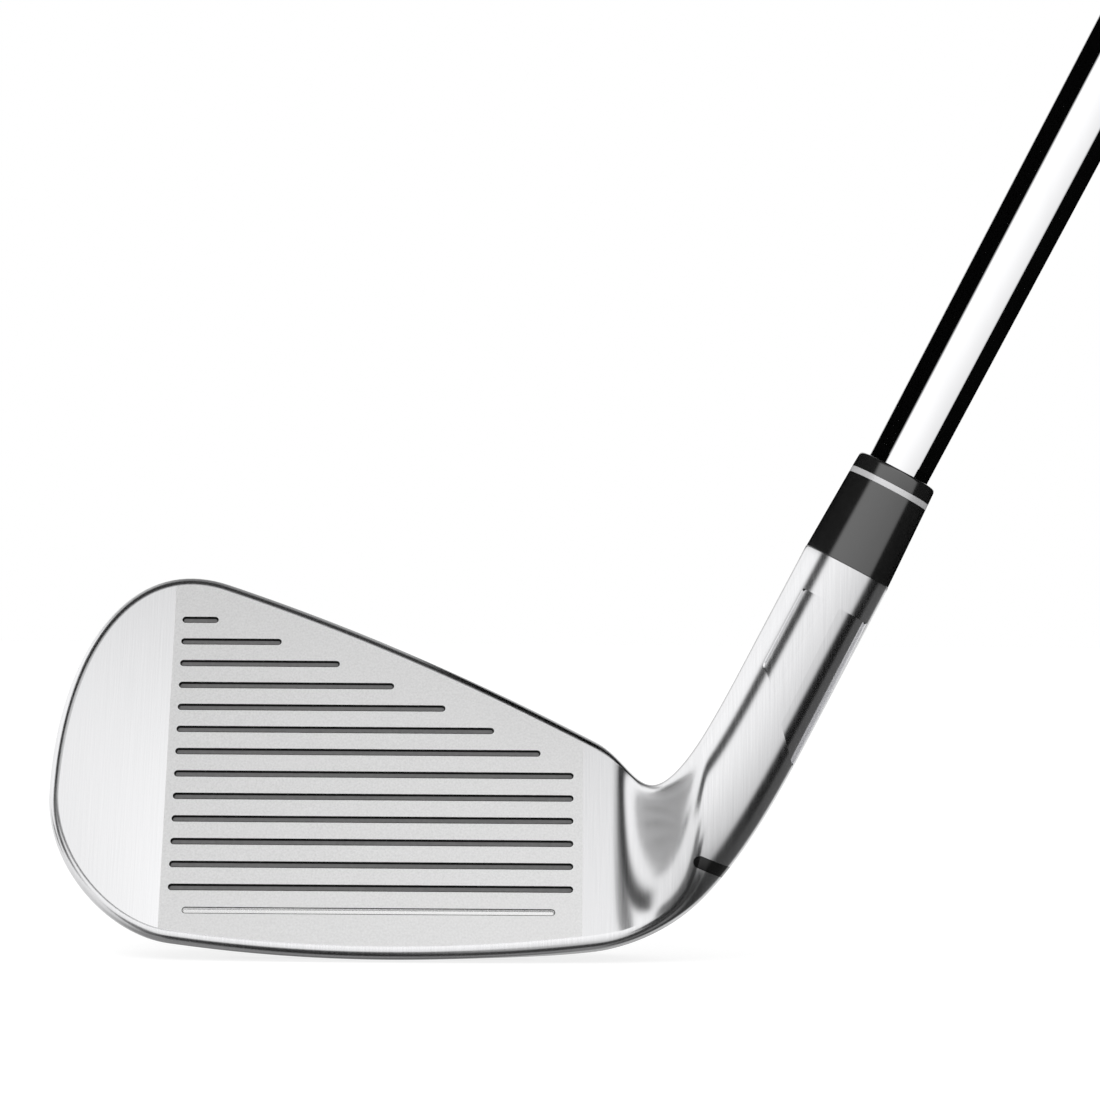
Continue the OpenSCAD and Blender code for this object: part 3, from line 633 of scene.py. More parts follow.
FLUTES = ((TOE_FLUTE, FLUTE_DEPTH, 4.4, 0.3), (HEEL_FLUTE, -FLUTE_DEPTH, 6.3, 0.12))
for outline, aside, outer, bevel in FLUTES:
    cut(head, flute(outline, aside, outer, bevel))
print("head after the flutes:", len(head.data.polygons), "faces")

# %% [markdown]
# The heel inlay is a band of black fill across the neck. The same cutter makes the groove in the head and,
# met with the uncut skin, the fill itself.

# %% Inlay
INLAY_AT, INLAY_TURN, INLAY_CORE, INLAY_W = (8.8, 15.2), math.radians(24), 5.5, 1.85
INLAY_REACH, CORE_BACK, INLAY_GAP = 14, 2.3, 0.12


def inlay_band(width):
    place = Matrix.Translation((INLAY_AT[0] * MM, 0, INLAY_AT[1] * MM)) @ Matrix.Rotation(INLAY_TURN, 4, "Y")
    ring = stadium(0, INLAY_REACH - INLAY_W / 2, width / 2)
    # The band's walls take the near-black painted shade, which shows in the gap round the fill.
    band = loft("band", [[(x, y, z) for x, z in ring] for y in (15, -15)], groove_painted_shade, place)
    core = loft("core", [[(x - CORE_BACK, y, z) for x, y, z in circle(INLAY_CORE, z)] for z in (-9, 9)],
                groove_painted_shade, place)
    return cut(band, core)


heel_inlay = copy_of(skin, "heel_fill")
heel_inlay.data.materials.clear()
heel_inlay.data.materials.append(inlay_black)
cut(heel_inlay, inlay_band(INLAY_W - INLAY_GAP), "INTERSECT")
cut(head, inlay_band(INLAY_W))
print("head after the inlay:", len(head.data.polygons), "faces")

# %% [markdown]
# ## Score lines
#
# Thirteen painted grooves and a bare one below them are the same short slot, pulled apart to their own
# lengths. That is a job for Geometry Nodes: a point stands for each line and carries half its length, a cone
# with few sides is put on every point, and its two halves are moved apart. One tree makes the lips, the
# grooves and the paint, because only the radii and the depths differ.

# %% Where the lines are
SCORE_N, SCORE_PITCH, SCORE_FIRST = 13, 3.66, 11.95
SCORE_W, SCORE_DEPTH, SCORE_TOE, SCORE_HEEL, SCORE_MARGIN = 0.95, 0.5, 68.4, 9.4, 7.2
BARE_ENDS = (2.2, 2.6)


def topline_x(z):
    m = TOPLINE_R * math.tan(TOPLINE_RISE)
    return -HEEL_X - m + math.sqrt(max(0, m * m - 2 * TOPLINE_R * (z - HEEL_H)))


def score_lines(painted):
    """Each line as its two ends along the face and its height up the face."""
    if not painted:
        return [(BARE_ENDS[0] - SCORE_TOE, -SCORE_HEEL - BARE_ENDS[1], SCORE_FIRST - SCORE_PITCH)]
    heights = [SCORE_FIRST + k * SCORE_PITCH for k in range(SCORE_N)]
    ends = [min(-SCORE_HEEL, topline_x((u + SCORE_MARGIN) * math.cos(LOFT) - EDGE_FALL)) for u in heights]
    return [(-SCORE_TOE, end, u) for end, u in zip(ends, heights)]


# %% The tree that draws them
def score_tree():
    tree = bpy.data.node_groups.new("ScoreLines", "GeometryNodeTree")
    panel = tree.interface
    panel.new_socket("Geometry", in_out="INPUT", socket_type="NodeSocketGeometry")
    for label in ("Top Radius", "Floor Radius", "From Depth", "To Depth"):
        panel.new_socket(label, in_out="INPUT", socket_type="NodeSocketFloat")
    panel.new_socket("Material", in_out="INPUT", socket_type="NodeSocketMaterial")
    panel.new_socket("Geometry", in_out="OUTPUT", socket_type="NodeSocketGeometry")
    given = add_node(tree, "NodeGroupInput").outputs
    depth = add_node(tree, "ShaderNodeMath", {
        0: given["To Depth"], 1: given["From Depth"]}, operation="SUBTRACT")
    cone = add_node(tree, "GeometryNodeMeshCone", {
        "Vertices": 48, "Radius Top": given["Top Radius"], "Radius Bottom": given["Floor Radius"],
        "Depth": depth.outputs[0]})
    sink = add_node(tree, "ShaderNodeMath", {0: given["To Depth"], 1: -1.0}, operation="MULTIPLY")
    down = add_node(tree, "ShaderNodeCombineXYZ", {"Z": sink.outputs[0]})
    half_step = math.pi / 48
    placed = add_node(tree, "GeometryNodeTransform", {
        "Geometry": cone.outputs["Mesh"], "Translation": down.outputs[0], "Rotation": (0, 0, half_step)})
    here = add_node(tree, "GeometryNodeInputPosition")
    axes = add_node(tree, "ShaderNodeSeparateXYZ", {0: here.outputs[0]})
    sign = add_node(tree, "ShaderNodeMath", {0: axes.outputs["X"]}, operation="SIGN")
    sided = add_node(tree, "GeometryNodeStoreNamedAttribute", {
        "Geometry": placed.outputs[0], "Name": "side", "Value": sign.outputs[0]}, data_type="FLOAT")
    lines = add_node(tree, "GeometryNodeInstanceOnPoints", {
        "Points": given["Geometry"], "Instance": sided.outputs[0]})
    whole = add_node(tree, "GeometryNodeRealizeInstances", {0: lines.outputs[0]})
    side = add_node(tree, "GeometryNodeInputNamedAttribute", {"Name": "side"}, data_type="FLOAT")
    reach = add_node(tree, "GeometryNodeInputNamedAttribute", {"Name": "reach"}, data_type="FLOAT")
    pull = add_node(tree, "ShaderNodeMath", {0: side.outputs[0], 1: reach.outputs[0]}, operation="MULTIPLY")
    offset = add_node(tree, "ShaderNodeCombineXYZ", {"X": pull.outputs[0]})
    pulled = add_node(tree, "GeometryNodeSetPosition", {
        "Geometry": whole.outputs[0], "Offset": offset.outputs[0]})
    named = add_node(tree, "GeometryNodeSetMaterial", {
        "Geometry": pulled.outputs[0], "Material": given["Material"]})
    add_node(tree, "NodeGroupOutput", {"Geometry": named.outputs[0]})
    return tree


SCORE_TREE = score_tree()


def set_inputs(modifier, values):
    """Sets a tree's named inputs by their identifiers."""
    for item in modifier.node_group.interface.items_tree:
        if item.item_type == "SOCKET" and item.in_out == "INPUT" and item.name in values:
            modifier[item.identifier] = values[item.name]


def draw_lines(name, painted, top_r, floor_r, start, end, material):
    lines = score_lines(painted)
    piece = new_piece(name, [((a + b) / 2, u, 0) for a, b, u in lines], [])
    reach = piece.data.attributes.new("reach", "FLOAT", "POINT")
    reach.data.foreach_set("value", [((b - a) - SCORE_W) / 2 * MM for a, b, u in lines])
    modifier = piece.modifiers.new("lines", "NODES")
    modifier.node_group = SCORE_TREE
    set_inputs(modifier, {"Top Radius": top_r * MM, "Floor Radius": floor_r * MM, "From Depth": start * MM,
                          "To Depth": end * MM, "Material": material})
    frozen(piece)
    piece.data.transform(ON_FACE)
    return face_outwards(piece)


# %% Grooves, lips and paint
# The lips are a thin near-black outline round every line, and the painted lines' walls are near-black too:
# painted shade at the grooves' edges. The bare line's walls are bright steel.
LIP, LIP_DEPTH, FLOOR_R, PAINT_T = 0.06, 0.05, 0.27, 0.16
half_w = SCORE_W / 2
for painted, wall in ((True, groove_painted_shade), (False, groove_lip)):
    cut(head, draw_lines("lips", painted, half_w + LIP + 0.1, half_w, -0.1, LIP_DEPTH, groove_painted_shade))
    cut(head, draw_lines("grooves", painted, half_w - 0.01, FLOOR_R, -0.1, SCORE_DEPTH, wall))
paint = draw_lines(
    "line_paint", True, FLOOR_R + 0.06, FLOOR_R, SCORE_DEPTH - PAINT_T, SCORE_DEPTH, line_paint)
print("head after the score lines:", len(head.data.polygons), "faces; paint:", len(paint.data.polygons))

# %% [markdown]
# ## Zones on the face, and the skin's normals
#
# The blasted middle of the face ends in two straight lines. The flat faces are split there and the middle
# ones change their material. Then the normals go back on: each corner of a skin face looks up the nearest
# place on the uncut skin.

# %% Zones of the face
BLAST_TOE, BLAST_HEEL = -69.6, -8.0


def is_face(polygon):
    return polygon.material_index == 0 and polygon.normal.dot(Vector(FACE_OUT)) > 0.9999


def split_zones(piece):
    piece.data.materials.append(blasted)
    piece.data.materials.append(toe_brushed)
    middle, toe = len(piece.data.materials) - 2, len(piece.data.materials) - 1
    bm = bmesh.new()
    bm.from_mesh(piece.data)
    for x in (BLAST_TOE, BLAST_HEEL):
        flats = [f for f in bm.faces if is_face(f)]
        around = flats + list({e for f in flats for e in f.edges}) + list({v for f in flats for v in f.verts})
        bmesh.ops.bisect_plane(bm, geom=around, plane_co=(x * MM, 0, 0), plane_no=(1, 0, 0), dist=1e-7)
    for f in [f for f in bm.faces if is_face(f)]:
        x = f.calc_center_median().x / MM
        if x < BLAST_HEEL:
            f.material_index = middle if x > BLAST_TOE else toe
    bm.to_mesh(piece.data)
    bm.free()
    return {0, middle, toe}


skin_slots = split_zones(head)

# %% Normals from the uncut skin
skin.data.calc_loop_triangles()
top_face = len(skin.data.polygons) - 1
skin_tris = [tuple(t.vertices) for t in skin.data.loop_triangles if t.polygon_index != top_face]
skin_co = [v.co.copy() for v in skin.data.vertices]
skin_tree = BVHTree.FromPolygons(skin_co, skin_tris)
skin_dirs = [Vector(n) for n in skin_normals]
EDGE_ANGLE, SAME_WAY = math.radians(28), 0.6


def follow_skin(piece, slots):
    """Gives the faces in these material slots the uncut skin's normals; the others keep their own."""
    mesh = piece.data
    mesh.shade_smooth()
    mesh.set_sharp_from_angle(angle=EDGE_ANGLE)
    found = {}
    normals = [Vector((0, 0, 0))] * len(mesh.loops)
    for polygon in mesh.polygons:
        if polygon.material_index not in slots:
            continue
        flat = Vector(polygon.normal)
        for i in polygon.loop_indices:
            v = mesh.loops[i].vertex_index
            if v not in found:
                place, _, index, _ = skin_tree.find_nearest(mesh.vertices[v].co)
                a, b, c = skin_tris[index]
                corners = skin_co[a], skin_co[b], skin_co[c]
                ways = skin_dirs[a], skin_dirs[b], skin_dirs[c]
                found[v] = barycentric_transform(place, *corners, *ways).normalized()
            normals[i] = found[v] if found[v].dot(flat) > SAME_WAY else flat
    mesh.normals_split_custom_set(normals)
    mesh.update()


follow_skin(head, skin_slots)
follow_skin(heel_inlay, {0})
bpy.data.objects.remove(skin)
print("head:", len(head.data.polygons), "faces,", len(head.data.materials), "finishes")


# %% [markdown]
# ## The back
#
# A bonded plate closes the hollow behind the face. Its edge is broken all round, and the badge sits in a
# sunk bed. Both are plates from the same outline, so a chamfer is just one more level of the loft.

# %% Cap and badge
CHAMFER = 0.25
cap = slab("cap_plate", [(CAP_GAP, PLATE_AT), (CAP_GAP, BACK_T - CHAMFER), (CAP_GAP + CHAMFER, BACK_T)],
           cap_steel)
cut(cap, slab("bed", [(BADGE_IN, BACK_T - BADGE_SINK), (BADGE_IN, BACK_T + 1)], cap_steel))
badge_top = BACK_T - BADGE_SINK + BADGE_T
badge = slab("badge", [(BADGE_IN + CAP_GAP, BACK_T - BADGE_SINK), (BADGE_IN + CAP_GAP, badge_top - CHAMFER),
                       (BADGE_IN + CAP_GAP + CHAMFER, badge_top), (BADGE_IN + 1.1, badge_top),
                       (BADGE_IN + 1.3, badge_top - 0.15)], badge_black)
for piece in (cap, badge):
    piece.data.shade_smooth()
    piece.data.set_sharp_from_angle(angle=EDGE_ANGLE)
print("cap:", len(cap.data.polygons), "badge:", len(badge.data.polygons))


# %% [markdown]
# ## Turned pieces
#
# The ferrule, the shaft and the grip are round about the shaft's axis, so each is a profile spun in fine
# steps. A chrome tube shows every facet as a broken reflection, which is why the frame's coarser tube is
# replaced.


# %% Spinning a profile
def turned(name, profile, material, segments=144):
    """A closed ring of the profile's points, given as radius and distance along the shaft."""
    n = len(profile)
    turns = [2 * math.pi * j / segments for j in range(segments)]
    points = [(r * math.cos(a), r * math.sin(a), z) for a in turns for r, z in profile]
    faces = [[j * n + k, j * n + (k + 1) % n, (j + 1) % segments * n + (k + 1) % n,
              (j + 1) % segments * n + k]
             for j in range(segments) for k in range(n)]
    piece = new_piece(name, points, faces, material)
    piece.data.transform(ON_SHAFT)
    face_outwards(piece)
    piece.data.shade_smooth()
    piece.data.set_sharp_from_angle(angle=EDGE_ANGLE)
    weighted = piece.modifiers.new("weighted", "WEIGHTED_NORMAL")
    weighted.keep_sharp = True
    return frozen(piece)


def rounded_edge(r, z, size, down, n=6):
    """Points of a quarter round that ends a profile at radius r and height z."""
    turn = [math.pi / 2 * k / n for k in range(n + 1)]
    if down:
        return [(r - size * (1 - math.sin(t)), z + size * (1 - math.cos(t))) for t in turn]
    return [(r - size * (1 - math.cos(t)), z - size * (1 - math.sin(t))) for t in turn]


# %% Ferrule
FERRULE_L, FERRULE_D, FERRULE_TOP_D, RING_IN, RING_W = 15.8, 13.3, 12.2, 2.8, 0.9
TIP_D, TIP_TAPER, SHAFT_FROM = 8.8, 0.0116, HOSEL_TOP - BORE_DEPTH + 0.5
ferrule_top = HOSEL_TOP + FERRULE_L
ring_from = ferrule_top - RING_IN - RING_W / 2


def shaft_r(a):
    return TIP_D / 2 + (a - SHAFT_FROM) * TIP_TAPER / 2


def ferrule_r(a):
    return mix(FERRULE_D, FERRULE_TOP_D, (a - HOSEL_TOP) / FERRULE_L) / 2


def ferrule_part(name, low, high, foot_round, top_round, material):
    profile = [(shaft_r(low), low), *rounded_edge(ferrule_r(low), low, foot_round, True)]
    profile += [*rounded_edge(ferrule_r(high), high, top_round, False), (shaft_r(high), high)]
    return turned(name, profile, material)


sleeve = ferrule_part("ferrule_sleeve_part", HOSEL_TOP, ring_from, 0.12, 0.06, ferrule_black)
ring = ferrule_part("ferrule_ring_part", ring_from, ring_from + RING_W, 0.05, 0.05, bright_ring)
collar = ferrule_part("ferrule_collar_part", ring_from + RING_W, ferrule_top, 0.06, 0.5, ferrule_black)

# %% [markdown]
# The shaft grows from its tip to its butt in short steps, as a drawn steel tube does.

# %% Shaft
CLUB_L, GRIP_L, GRIP_CAP_H, BUTT_R, SHAFT_WALL, TIP_WALL = 940, 267, 7, 7.62, 0.45, 0.9
FIRST_STEP, STEP_N, PLAIN_BUTT, RAMP = 190, 15, 33, 1.2
GRIP_FROM, SHAFT_TO = CLUB_L - GRIP_L, CLUB_L - GRIP_CAP_H
step_pitch = (GRIP_FROM - PLAIN_BUTT - FIRST_STEP) / (STEP_N - 1)
step_r = (BUTT_R - shaft_r(FIRST_STEP)) / STEP_N


def steps(wall):
    profile = []
    for k in range(STEP_N):
        a, r = FIRST_STEP + k * step_pitch, shaft_r(FIRST_STEP) + k * step_r - wall
        profile += [(r, a), (r + step_r, a + RAMP)]
    return profile


outside = [(shaft_r(SHAFT_FROM), SHAFT_FROM), *steps(0), (BUTT_R, SHAFT_TO)]
inside = [(BUTT_R - SHAFT_WALL, SHAFT_TO), *steps(SHAFT_WALL)[::-1],
          (shaft_r(SHAFT_FROM) - TIP_WALL, SHAFT_FROM)]
shaft = turned("shaft_tube", outside + inside, chrome, 192)
print("shaft:", len(shaft.data.polygons), "faces,", STEP_N, "steps,", round(step_pitch, 2), "mm apart")

# %% [markdown]
# ## Grip
#
# The rubber grip swells from its mouth to its cap. Plain bands divide fields of small raised marks, which
# stand in staggered rings. The marks repeat by the hundred, so Geometry Nodes place one low-sided bead on
# every point of a rolled-up grid.

# %% Grip and cap
MOUTH_R, GRIP_R, CAP_R, CAP_ROUND, VENT_R, TAPE_T = 8.8, 12.7, 13.7, 2.2, 1.5, 0.25
BANDS = (0.06, 0.34, 0.64, 0.94)
BAND_W, BAND_DEPTH = 1.4, 0.35


def grip_r(a):
    return mix(MOUTH_R, GRIP_R, (a - GRIP_FROM) / (SHAFT_TO - GRIP_FROM))


def band_profile(share):
    a = mix(GRIP_FROM, SHAFT_TO, share)
    offsets = ((-1, 0), (-0.6, 1), (0.6, 1), (1, 0))
    return [(grip_r(a + d * BAND_W) - s * BAND_DEPTH, a + d * BAND_W) for d, s in offsets]


bore_r = BUTT_R + TAPE_T
grip = turned("grip_rubber_sleeve", [
    (BUTT_R, GRIP_FROM), *rounded_edge(MOUTH_R, GRIP_FROM, 0.8, True, 8),
    *[p for share in BANDS for p in band_profile(share)], (GRIP_R, SHAFT_TO),
    (bore_r, SHAFT_TO), (bore_r, GRIP_FROM + 2), (BUTT_R, GRIP_FROM + 2)], grip_rubber)
grip_cap = turned("grip_end_cap", [
    (VENT_R, SHAFT_TO), (GRIP_R, SHAFT_TO), (CAP_R, SHAFT_TO + 1.5),
    *rounded_edge(CAP_R, CLUB_L, CAP_ROUND, False, 8), (9.2, CLUB_L),
    (8.8, CLUB_L - 0.3), (8.0, CLUB_L - 0.3), (7.6, CLUB_L), (VENT_R + 0.4, CLUB_L), (VENT_R, CLUB_L - 0.4)],
    cap_rubber)


# %% The tree that sets the marks
def mark_tree():
    tree = bpy.data.node_groups.new("GripMarks", "GeometryNodeTree")
    panel = tree.interface
    for label in ("Rows", "Around"):
        panel.new_socket(label, in_out="INPUT", socket_type="NodeSocketInt")
    for label in ("Start", "Pitch", "Start Radius", "Radius Growth"):
        panel.new_socket(label, in_out="INPUT", socket_type="NodeSocketFloat")
    panel.new_socket("Mark Size", in_out="INPUT", socket_type="NodeSocketVector")
    panel.new_socket("Material", in_out="INPUT", socket_type="NodeSocketMaterial")
    panel.new_socket("Geometry", in_out="OUTPUT", socket_type="NodeSocketGeometry")
    given = add_node(tree, "NodeGroupInput").outputs

    def maths(operation, a, b=0.0):
        return add_node(tree, "ShaderNodeMath", {0: a, 1: b}, operation=operation).outputs[0]

    count = maths("MULTIPLY", given["Rows"], given["Around"])
    points = add_node(tree, "GeometryNodePoints", {"Count": count})
    index = add_node(tree, "GeometryNodeInputIndex").outputs[0]
    row = maths("FLOOR", maths("DIVIDE", maths("ADD", index, 0.5), given["Around"]))
    shift = maths("MULTIPLY", maths("MODULO", row, 2.0), 0.5)
    step = maths("DIVIDE", 2 * math.pi, given["Around"])
    angle = maths("MULTIPLY", maths("ADD", index, shift), step)
    along = maths("MULTIPLY", row, given["Pitch"])
    radius = maths("ADD", given["Start Radius"], maths("MULTIPLY", along, given["Radius Growth"]))
    place = add_node(tree, "ShaderNodeCombineXYZ", {
        "X": maths("MULTIPLY", radius, maths("COSINE", angle)),
        "Y": maths("MULTIPLY", radius, maths("SINE", angle)),
        "Z": maths("ADD", given["Start"], along)})
    set_out = add_node(tree, "GeometryNodeSetPosition", {
        "Geometry": points.outputs[0], "Position": place.outputs[0]})
    bead = add_node(tree, "GeometryNodeMeshUVSphere", {"Segments": 8, "Rings": 6, "Radius": 1.0})
    turn = add_node(tree, "ShaderNodeCombineXYZ", {"Z": angle})
    marks = add_node(tree, "GeometryNodeInstanceOnPoints", {
        "Points": set_out.outputs[0], "Instance": bead.outputs["Mesh"], "Rotation": turn.outputs[0],
        "Scale": given["Mark Size"]})
    whole = add_node(tree, "GeometryNodeRealizeInstances", {0: marks.outputs[0]})
    smooth = add_node(tree, "GeometryNodeSetShadeSmooth", {0: whole.outputs[0]})
    named = add_node(tree, "GeometryNodeSetMaterial", {
        "Geometry": smooth.outputs[0], "Material": given["Material"]})
    add_node(tree, "NodeGroupOutput", {"Geometry": named.outputs[0]})
    return tree


# %% Marks on the grip
MARK_TREE = mark_tree()
MARK_PITCH, MARK_AROUND, FIELD_GAP = 4.2, 20, 4.5
growth = (GRIP_R - MOUTH_R) / (SHAFT_TO - GRIP_FROM)
fields = []
for low, high in zip(BANDS, BANDS[1:]):
    start = mix(GRIP_FROM, SHAFT_TO, low) + FIELD_GAP
    rows = int((mix(GRIP_FROM, SHAFT_TO, high) - FIELD_GAP - start) / MARK_PITCH) + 1
    field = new_piece("field", [], [])
    modifier = field.modifiers.new("marks", "NODES")
    modifier.node_group = MARK_TREE
    set_inputs(modifier, {
        "Rows": rows, "Around": MARK_AROUND, "Start": start * MM, "Pitch": MARK_PITCH * MM,
        "Start Radius": grip_r(start) * MM, "Radius Growth": growth,
        "Mark Size": (0.28 * MM, 0.55 * MM, 1.35 * MM), "Material": grip_rubber})
    fields.append(frozen(field, f"grip_marks_{len(fields) + 1}"))
    field.data.transform(ON_SHAFT)
    print(field.name, rows * MARK_AROUND, "marks,", len(field.data.polygons), "faces")

# %% [markdown]
# ## Joining the frame
#
# Nothing on a golf club moves, so every new piece rides on the one body. Each new piece is listed with the
# CAD node it stands for, which is hidden, and with a slot of the record, which nothing here reads.

# %% Ride and replace; the slots are only listed
PIECES = [
    (head, "head_body", "head_steel"), (heel_inlay, "heel_inlay", "inlay_black"),
    (paint, "score_line_paint", "line_paint"), (cap, "back_cap", "cap_metal"),
    (badge, "cap_badge", "badge_enamel"), (sleeve, "ferrule_sleeve", "ferrule_black"),
    (ring, "ferrule_ring", "ferrule_silver"), (collar, "ferrule_collar", "ferrule_black"),
    (shaft, "shaft", "shaft_chrome"), (grip, "grip_sleeve", "grip_rubber"),
    (grip_cap, "grip_cap", "cap_rubber")]
for piece, node_name, slot_name in PIECES:
    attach(piece, "root")
    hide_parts(node_name)
for field in fields:
    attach(field, "root")

KEPT = {"cap_adhesive": film, "face_damper": damper_rubber, "toe_weight": tungsten,
        "sole_slot_insert": insert_rubber, "hosel_bond": resin, "tip_weight": brass, "grip_tape": paper_tape}
for node_name, material in KEPT.items():
    nodes[node_name].data.materials.clear()
    nodes[node_name].data.materials.append(material)
print("pieces:", len(PIECES) + len(fields), "kept CAD nodes:", len(KEPT))

# %% [markdown]
# ## Studio
#
# Polished steel has hardly any colour of its own: it shows the room. A photographer puts a bright wide
# window in front, dark cards beside it, and keeps the rest pale, and those bands are what makes the hosel
# look round. The room is painted in the world by direction. The camera sees plain white, soft surfaces
# see an even light, and only reflections see the cards.

# %% The room
world = bpy.data.worlds.new("studio")
bpy.context.scene.world = world
world.use_nodes = True
world.cycles.sampling_method = "NONE"
room = world.node_tree
room.nodes.clear()


def maths(operation, a, b=0.0, c=0.0):
    return add_node(room, "ShaderNodeMath", {0: a, 1: b, 2: c}, operation=operation).outputs[0]


def between(value, low, high, soft):
    """1 where the value lies between two limits, with soft edges."""
    rise = add_node(room, "ShaderNodeMapRange", {
        "Value": value, "From Min": low - soft, "From Max": low + soft}, interpolation_type="SMOOTHSTEP")
    fall = add_node(room, "ShaderNodeMapRange", {
        "Value": value, "From Min": high - soft, "From Max": high + soft, "To Min": 1.0, "To Max": 0.0},
        interpolation_type="SMOOTHSTEP")
    return maths("MULTIPLY", rise.outputs[0], fall.outputs[0])


way = add_node(room, "ShaderNodeTexCoord").outputs["Generated"]
axes = add_node(room, "ShaderNodeSeparateXYZ", {0: way})
turn = maths("DEGREES", maths("ARCTAN2", axes.outputs["X"], maths("MULTIPLY", axes.outputs["Y"], -1.0)))
rise = maths("DEGREES", maths("ARCSINE", axes.outputs["Z"]))
over = maths("DEGREES", maths("ARCTAN2", axes.outputs["Z"], maths("MULTIPLY", axes.outputs["Y"], -1.0)))
aside = maths("DEGREES", maths("ARCSINE", axes.outputs["X"]))

# %% [markdown]
# First the light by height, then the cards, each given by where it starts and ends to the side and in
# height, how soft its edges are, and how dark it is. The turn is 0 towards the camera and grows to the
# right; the rise is 0 at the horizon. Two more hang overhead as a canopy, and are given by how far they
# reach over the club, from 0 in front to 180 behind, and how far aside.

# %% Light by height, and the cards
HEIGHTS = [(-90, 0.25), (-50, 0.3), (-28, 0.8), (0, 1.05), (40, 1.3), (51, 1.35), (55, 0.95),
           (58, 0.6), (90, 0.9)]
CARDS = [
    # turn from, to, rise from, to, soft, darkness
    (-80, -53, 9, 60, 6, 0.96),
    (-85, -10, 37, 51, 4, 0.9),
    (-112, -92, -3, 8, 3, 0.85),
    (-52, -28, -45, -4, 5, 0.8),
    (62, 97, -36, 58, 6, 0.92),
    (62, 150, -70, 58, 9, 0.87),
    (-30, 5, -75, -18, 5, 0.95),
    (5, 60, -85, -44, 5, 0.85),
    (-190, -162, -80, 60, 6, 0.5),
    (168, 190, -80, 60, 6, 0.5),
]
CANOPY = [
    # over from, to, aside from, to, soft, darkness
    (66, 112, -48, 45, 5, 0.95),
    (112, 150, -38, 40, 5, 0.6),
]
ramp = add_node(room, "ShaderNodeValToRGB", {0: maths("MULTIPLY_ADD", rise, 1 / 180, 0.5)})
stops = ramp.color_ramp.elements
while len(stops) < len(HEIGHTS):
    stops.new(0.5)
for stop, (height, level) in zip(stops, HEIGHTS):
    stop.position = height / 180 + 0.5
    stop.color = (level, level, level, 1)
level = maths("MULTIPLY", ramp.outputs["Color"], 1.0)
for first, second, cards in ((turn, rise, CARDS), (over, aside, CANOPY)):
    for a, b, c, d, soft, dark in cards:
        card = maths("MULTIPLY", between(first, a, b, soft), between(second, c, d, soft))
        level = maths("MULTIPLY", level, maths("MULTIPLY_ADD", card, -dark, 1.0))

# %% What each kind of ray sees
EVEN_LIGHT = 0.8
rays = add_node(room, "ShaderNodeLightPath")
seen = maths("MULTIPLY", rays.outputs["Is Camera Ray"], 1.0)
mirrored = maths("MAXIMUM", rays.outputs["Is Glossy Ray"], rays.outputs["Is Transmission Ray"])
strength = add_node(room, "ShaderNodeMix", {
    0: mirrored, 2: EVEN_LIGHT, 3: level}, data_type="FLOAT").outputs[0]
strength = add_node(room, "ShaderNodeMix", {0: seen, 2: strength, 3: 1.0}, data_type="FLOAT").outputs[0]
back = add_node(room, "ShaderNodeBackground", {"Color": (1, 1, 1, 1), "Strength": strength})
add_node(room, "ShaderNodeOutputWorld", {"Surface": back.outputs[0]})

# %% [markdown]
# One soft lamp from the upper left gives the rubber and the floor a direction. It doesn't show in the steel,
# because the room already does.


# %% The lamp
def soft_lamp(name, place, aim, size, power):
    lamp = bpy.data.lights.new(name, "AREA")
    lamp.shape = "SQUARE"
    lamp.size = size
    lamp.energy = power
    holder = bpy.data.objects.new(name, lamp)
    bpy.context.scene.collection.objects.link(holder)
    holder.location = place
    holder.rotation_euler = (Vector(aim) - Vector(place)).to_track_quat("-Z", "Y").to_euler()
    holder.visible_glossy = False
    return holder


low, high = cad_box
middle = (low + high) / 2
soft_lamp("key", (-1.0, -1.6, 1.9), middle, 1.4, 22)

# %% [markdown]
# The shaft and the ferrule are mirrors, and their black sides are two pairs of cards that stand beside
# them. The cards show in reflections only.

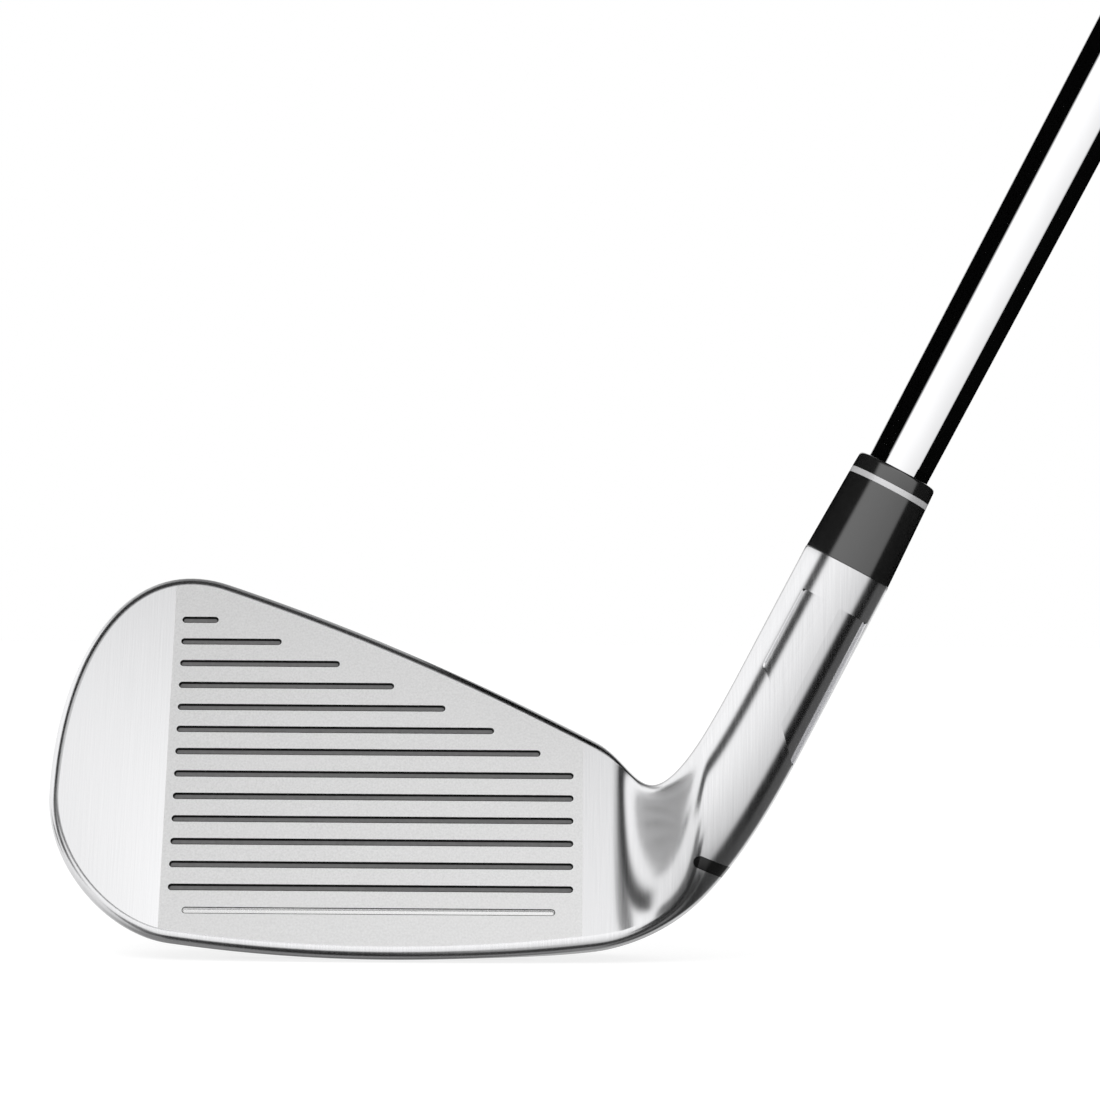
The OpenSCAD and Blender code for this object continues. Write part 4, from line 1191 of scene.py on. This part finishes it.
# %% Cards beside the shaft and the ferrule
CARD_BACK = 150
SIDE_CARDS = [
    # side, front, from, to
    ("shaft_cards", 60, -34, 83, 900),
    ("ferrule_cards", 14, -11, 65.6, 83),
]
card_black = bpy.data.materials.new("card_black")
card_black.use_nodes = True
card_black.node_tree.nodes["Principled BSDF"].inputs["Base Color"].default_value = (0.002, 0.002, 0.002, 1)
card_black.node_tree.nodes["Principled BSDF"].inputs["Specular IOR Level"].default_value = 0
for name, side, front, low, high in SIDE_CARDS:
    corners = [(x, y, z) for x in (-side, side)
               for y, z in ((front, low), (CARD_BACK, low), (CARD_BACK, high), (front, high))]
    card = new_piece(name, corners, [[0, 1, 2, 3], [4, 5, 6, 7]], card_black)
    card.data.transform(ON_SHAFT)
    for kind in ("camera", "diffuse", "transmission", "shadow", "volume_scatter"):
        setattr(card, f"visible_{kind}", False)

# %% [markdown]
# The floor is pale and takes a soft shadow. To the camera it glows a little, so that away from the shadow it
# is as white as the backdrop.

# %% The floor
FLOOR_SIZE, FLOOR_GLOW, FLOOR_SHADE = 4.0, 0.8, 0.3
floor_finish = bpy.data.materials.new("floor_paper")
floor_finish.use_nodes = True
tree = floor_finish.node_tree
tree.nodes.clear()
rays = add_node(tree, "ShaderNodeLightPath")
paper = add_node(tree, "ShaderNodeBsdfDiffuse", {"Color": (0.8, 0.8, 0.8, 1)})
shade = add_node(tree, "ShaderNodeBsdfDiffuse", {"Color": (FLOOR_SHADE, FLOOR_SHADE, FLOOR_SHADE, 1)})
glow = add_node(tree, "ShaderNodeEmission", {"Color": (1, 1, 1, 1), "Strength": FLOOR_GLOW})
seen_floor = add_node(tree, "ShaderNodeAddShader", {0: shade.outputs[0], 1: glow.outputs[0]})
either = add_node(tree, "ShaderNodeMixShader", {
    0: rays.outputs["Is Camera Ray"], 1: paper.outputs[0], 2: seen_floor.outputs[0]})
add_node(tree, "ShaderNodeOutputMaterial", {"Surface": either.outputs[0]})
half = FLOOR_SIZE / 2 / MM
floor = new_piece("floor", [(-half, -half, 0), (half, -half, 0), (half, half, 0), (-half, half, 0)],
                  [[0, 1, 2, 3]], floor_finish)
floor.visible_glossy = False

# %% [markdown]
# The camera looks straight at the toe-to-heel line from 60 cm away at face height, with a long lens and a
# very slight roll.

# %% The camera
camera_data = bpy.data.cameras.new("camera")
camera_data.sensor_width = 36
camera_data.lens = 135.1
camera = bpy.data.objects.new("camera", camera_data)
bpy.context.scene.collection.objects.link(camera)
camera.location = (-0.01307, -0.6, 0.06)
camera.rotation_euler = (math.pi / 2, math.radians(-0.4), 0)
bpy.context.scene.camera = camera
bpy.context.scene.view_settings.view_transform = "Standard"

# %% Sizes, and the last line
print("CAD box", [[round(v / MM, 2) for v in c] for c in cad_box])
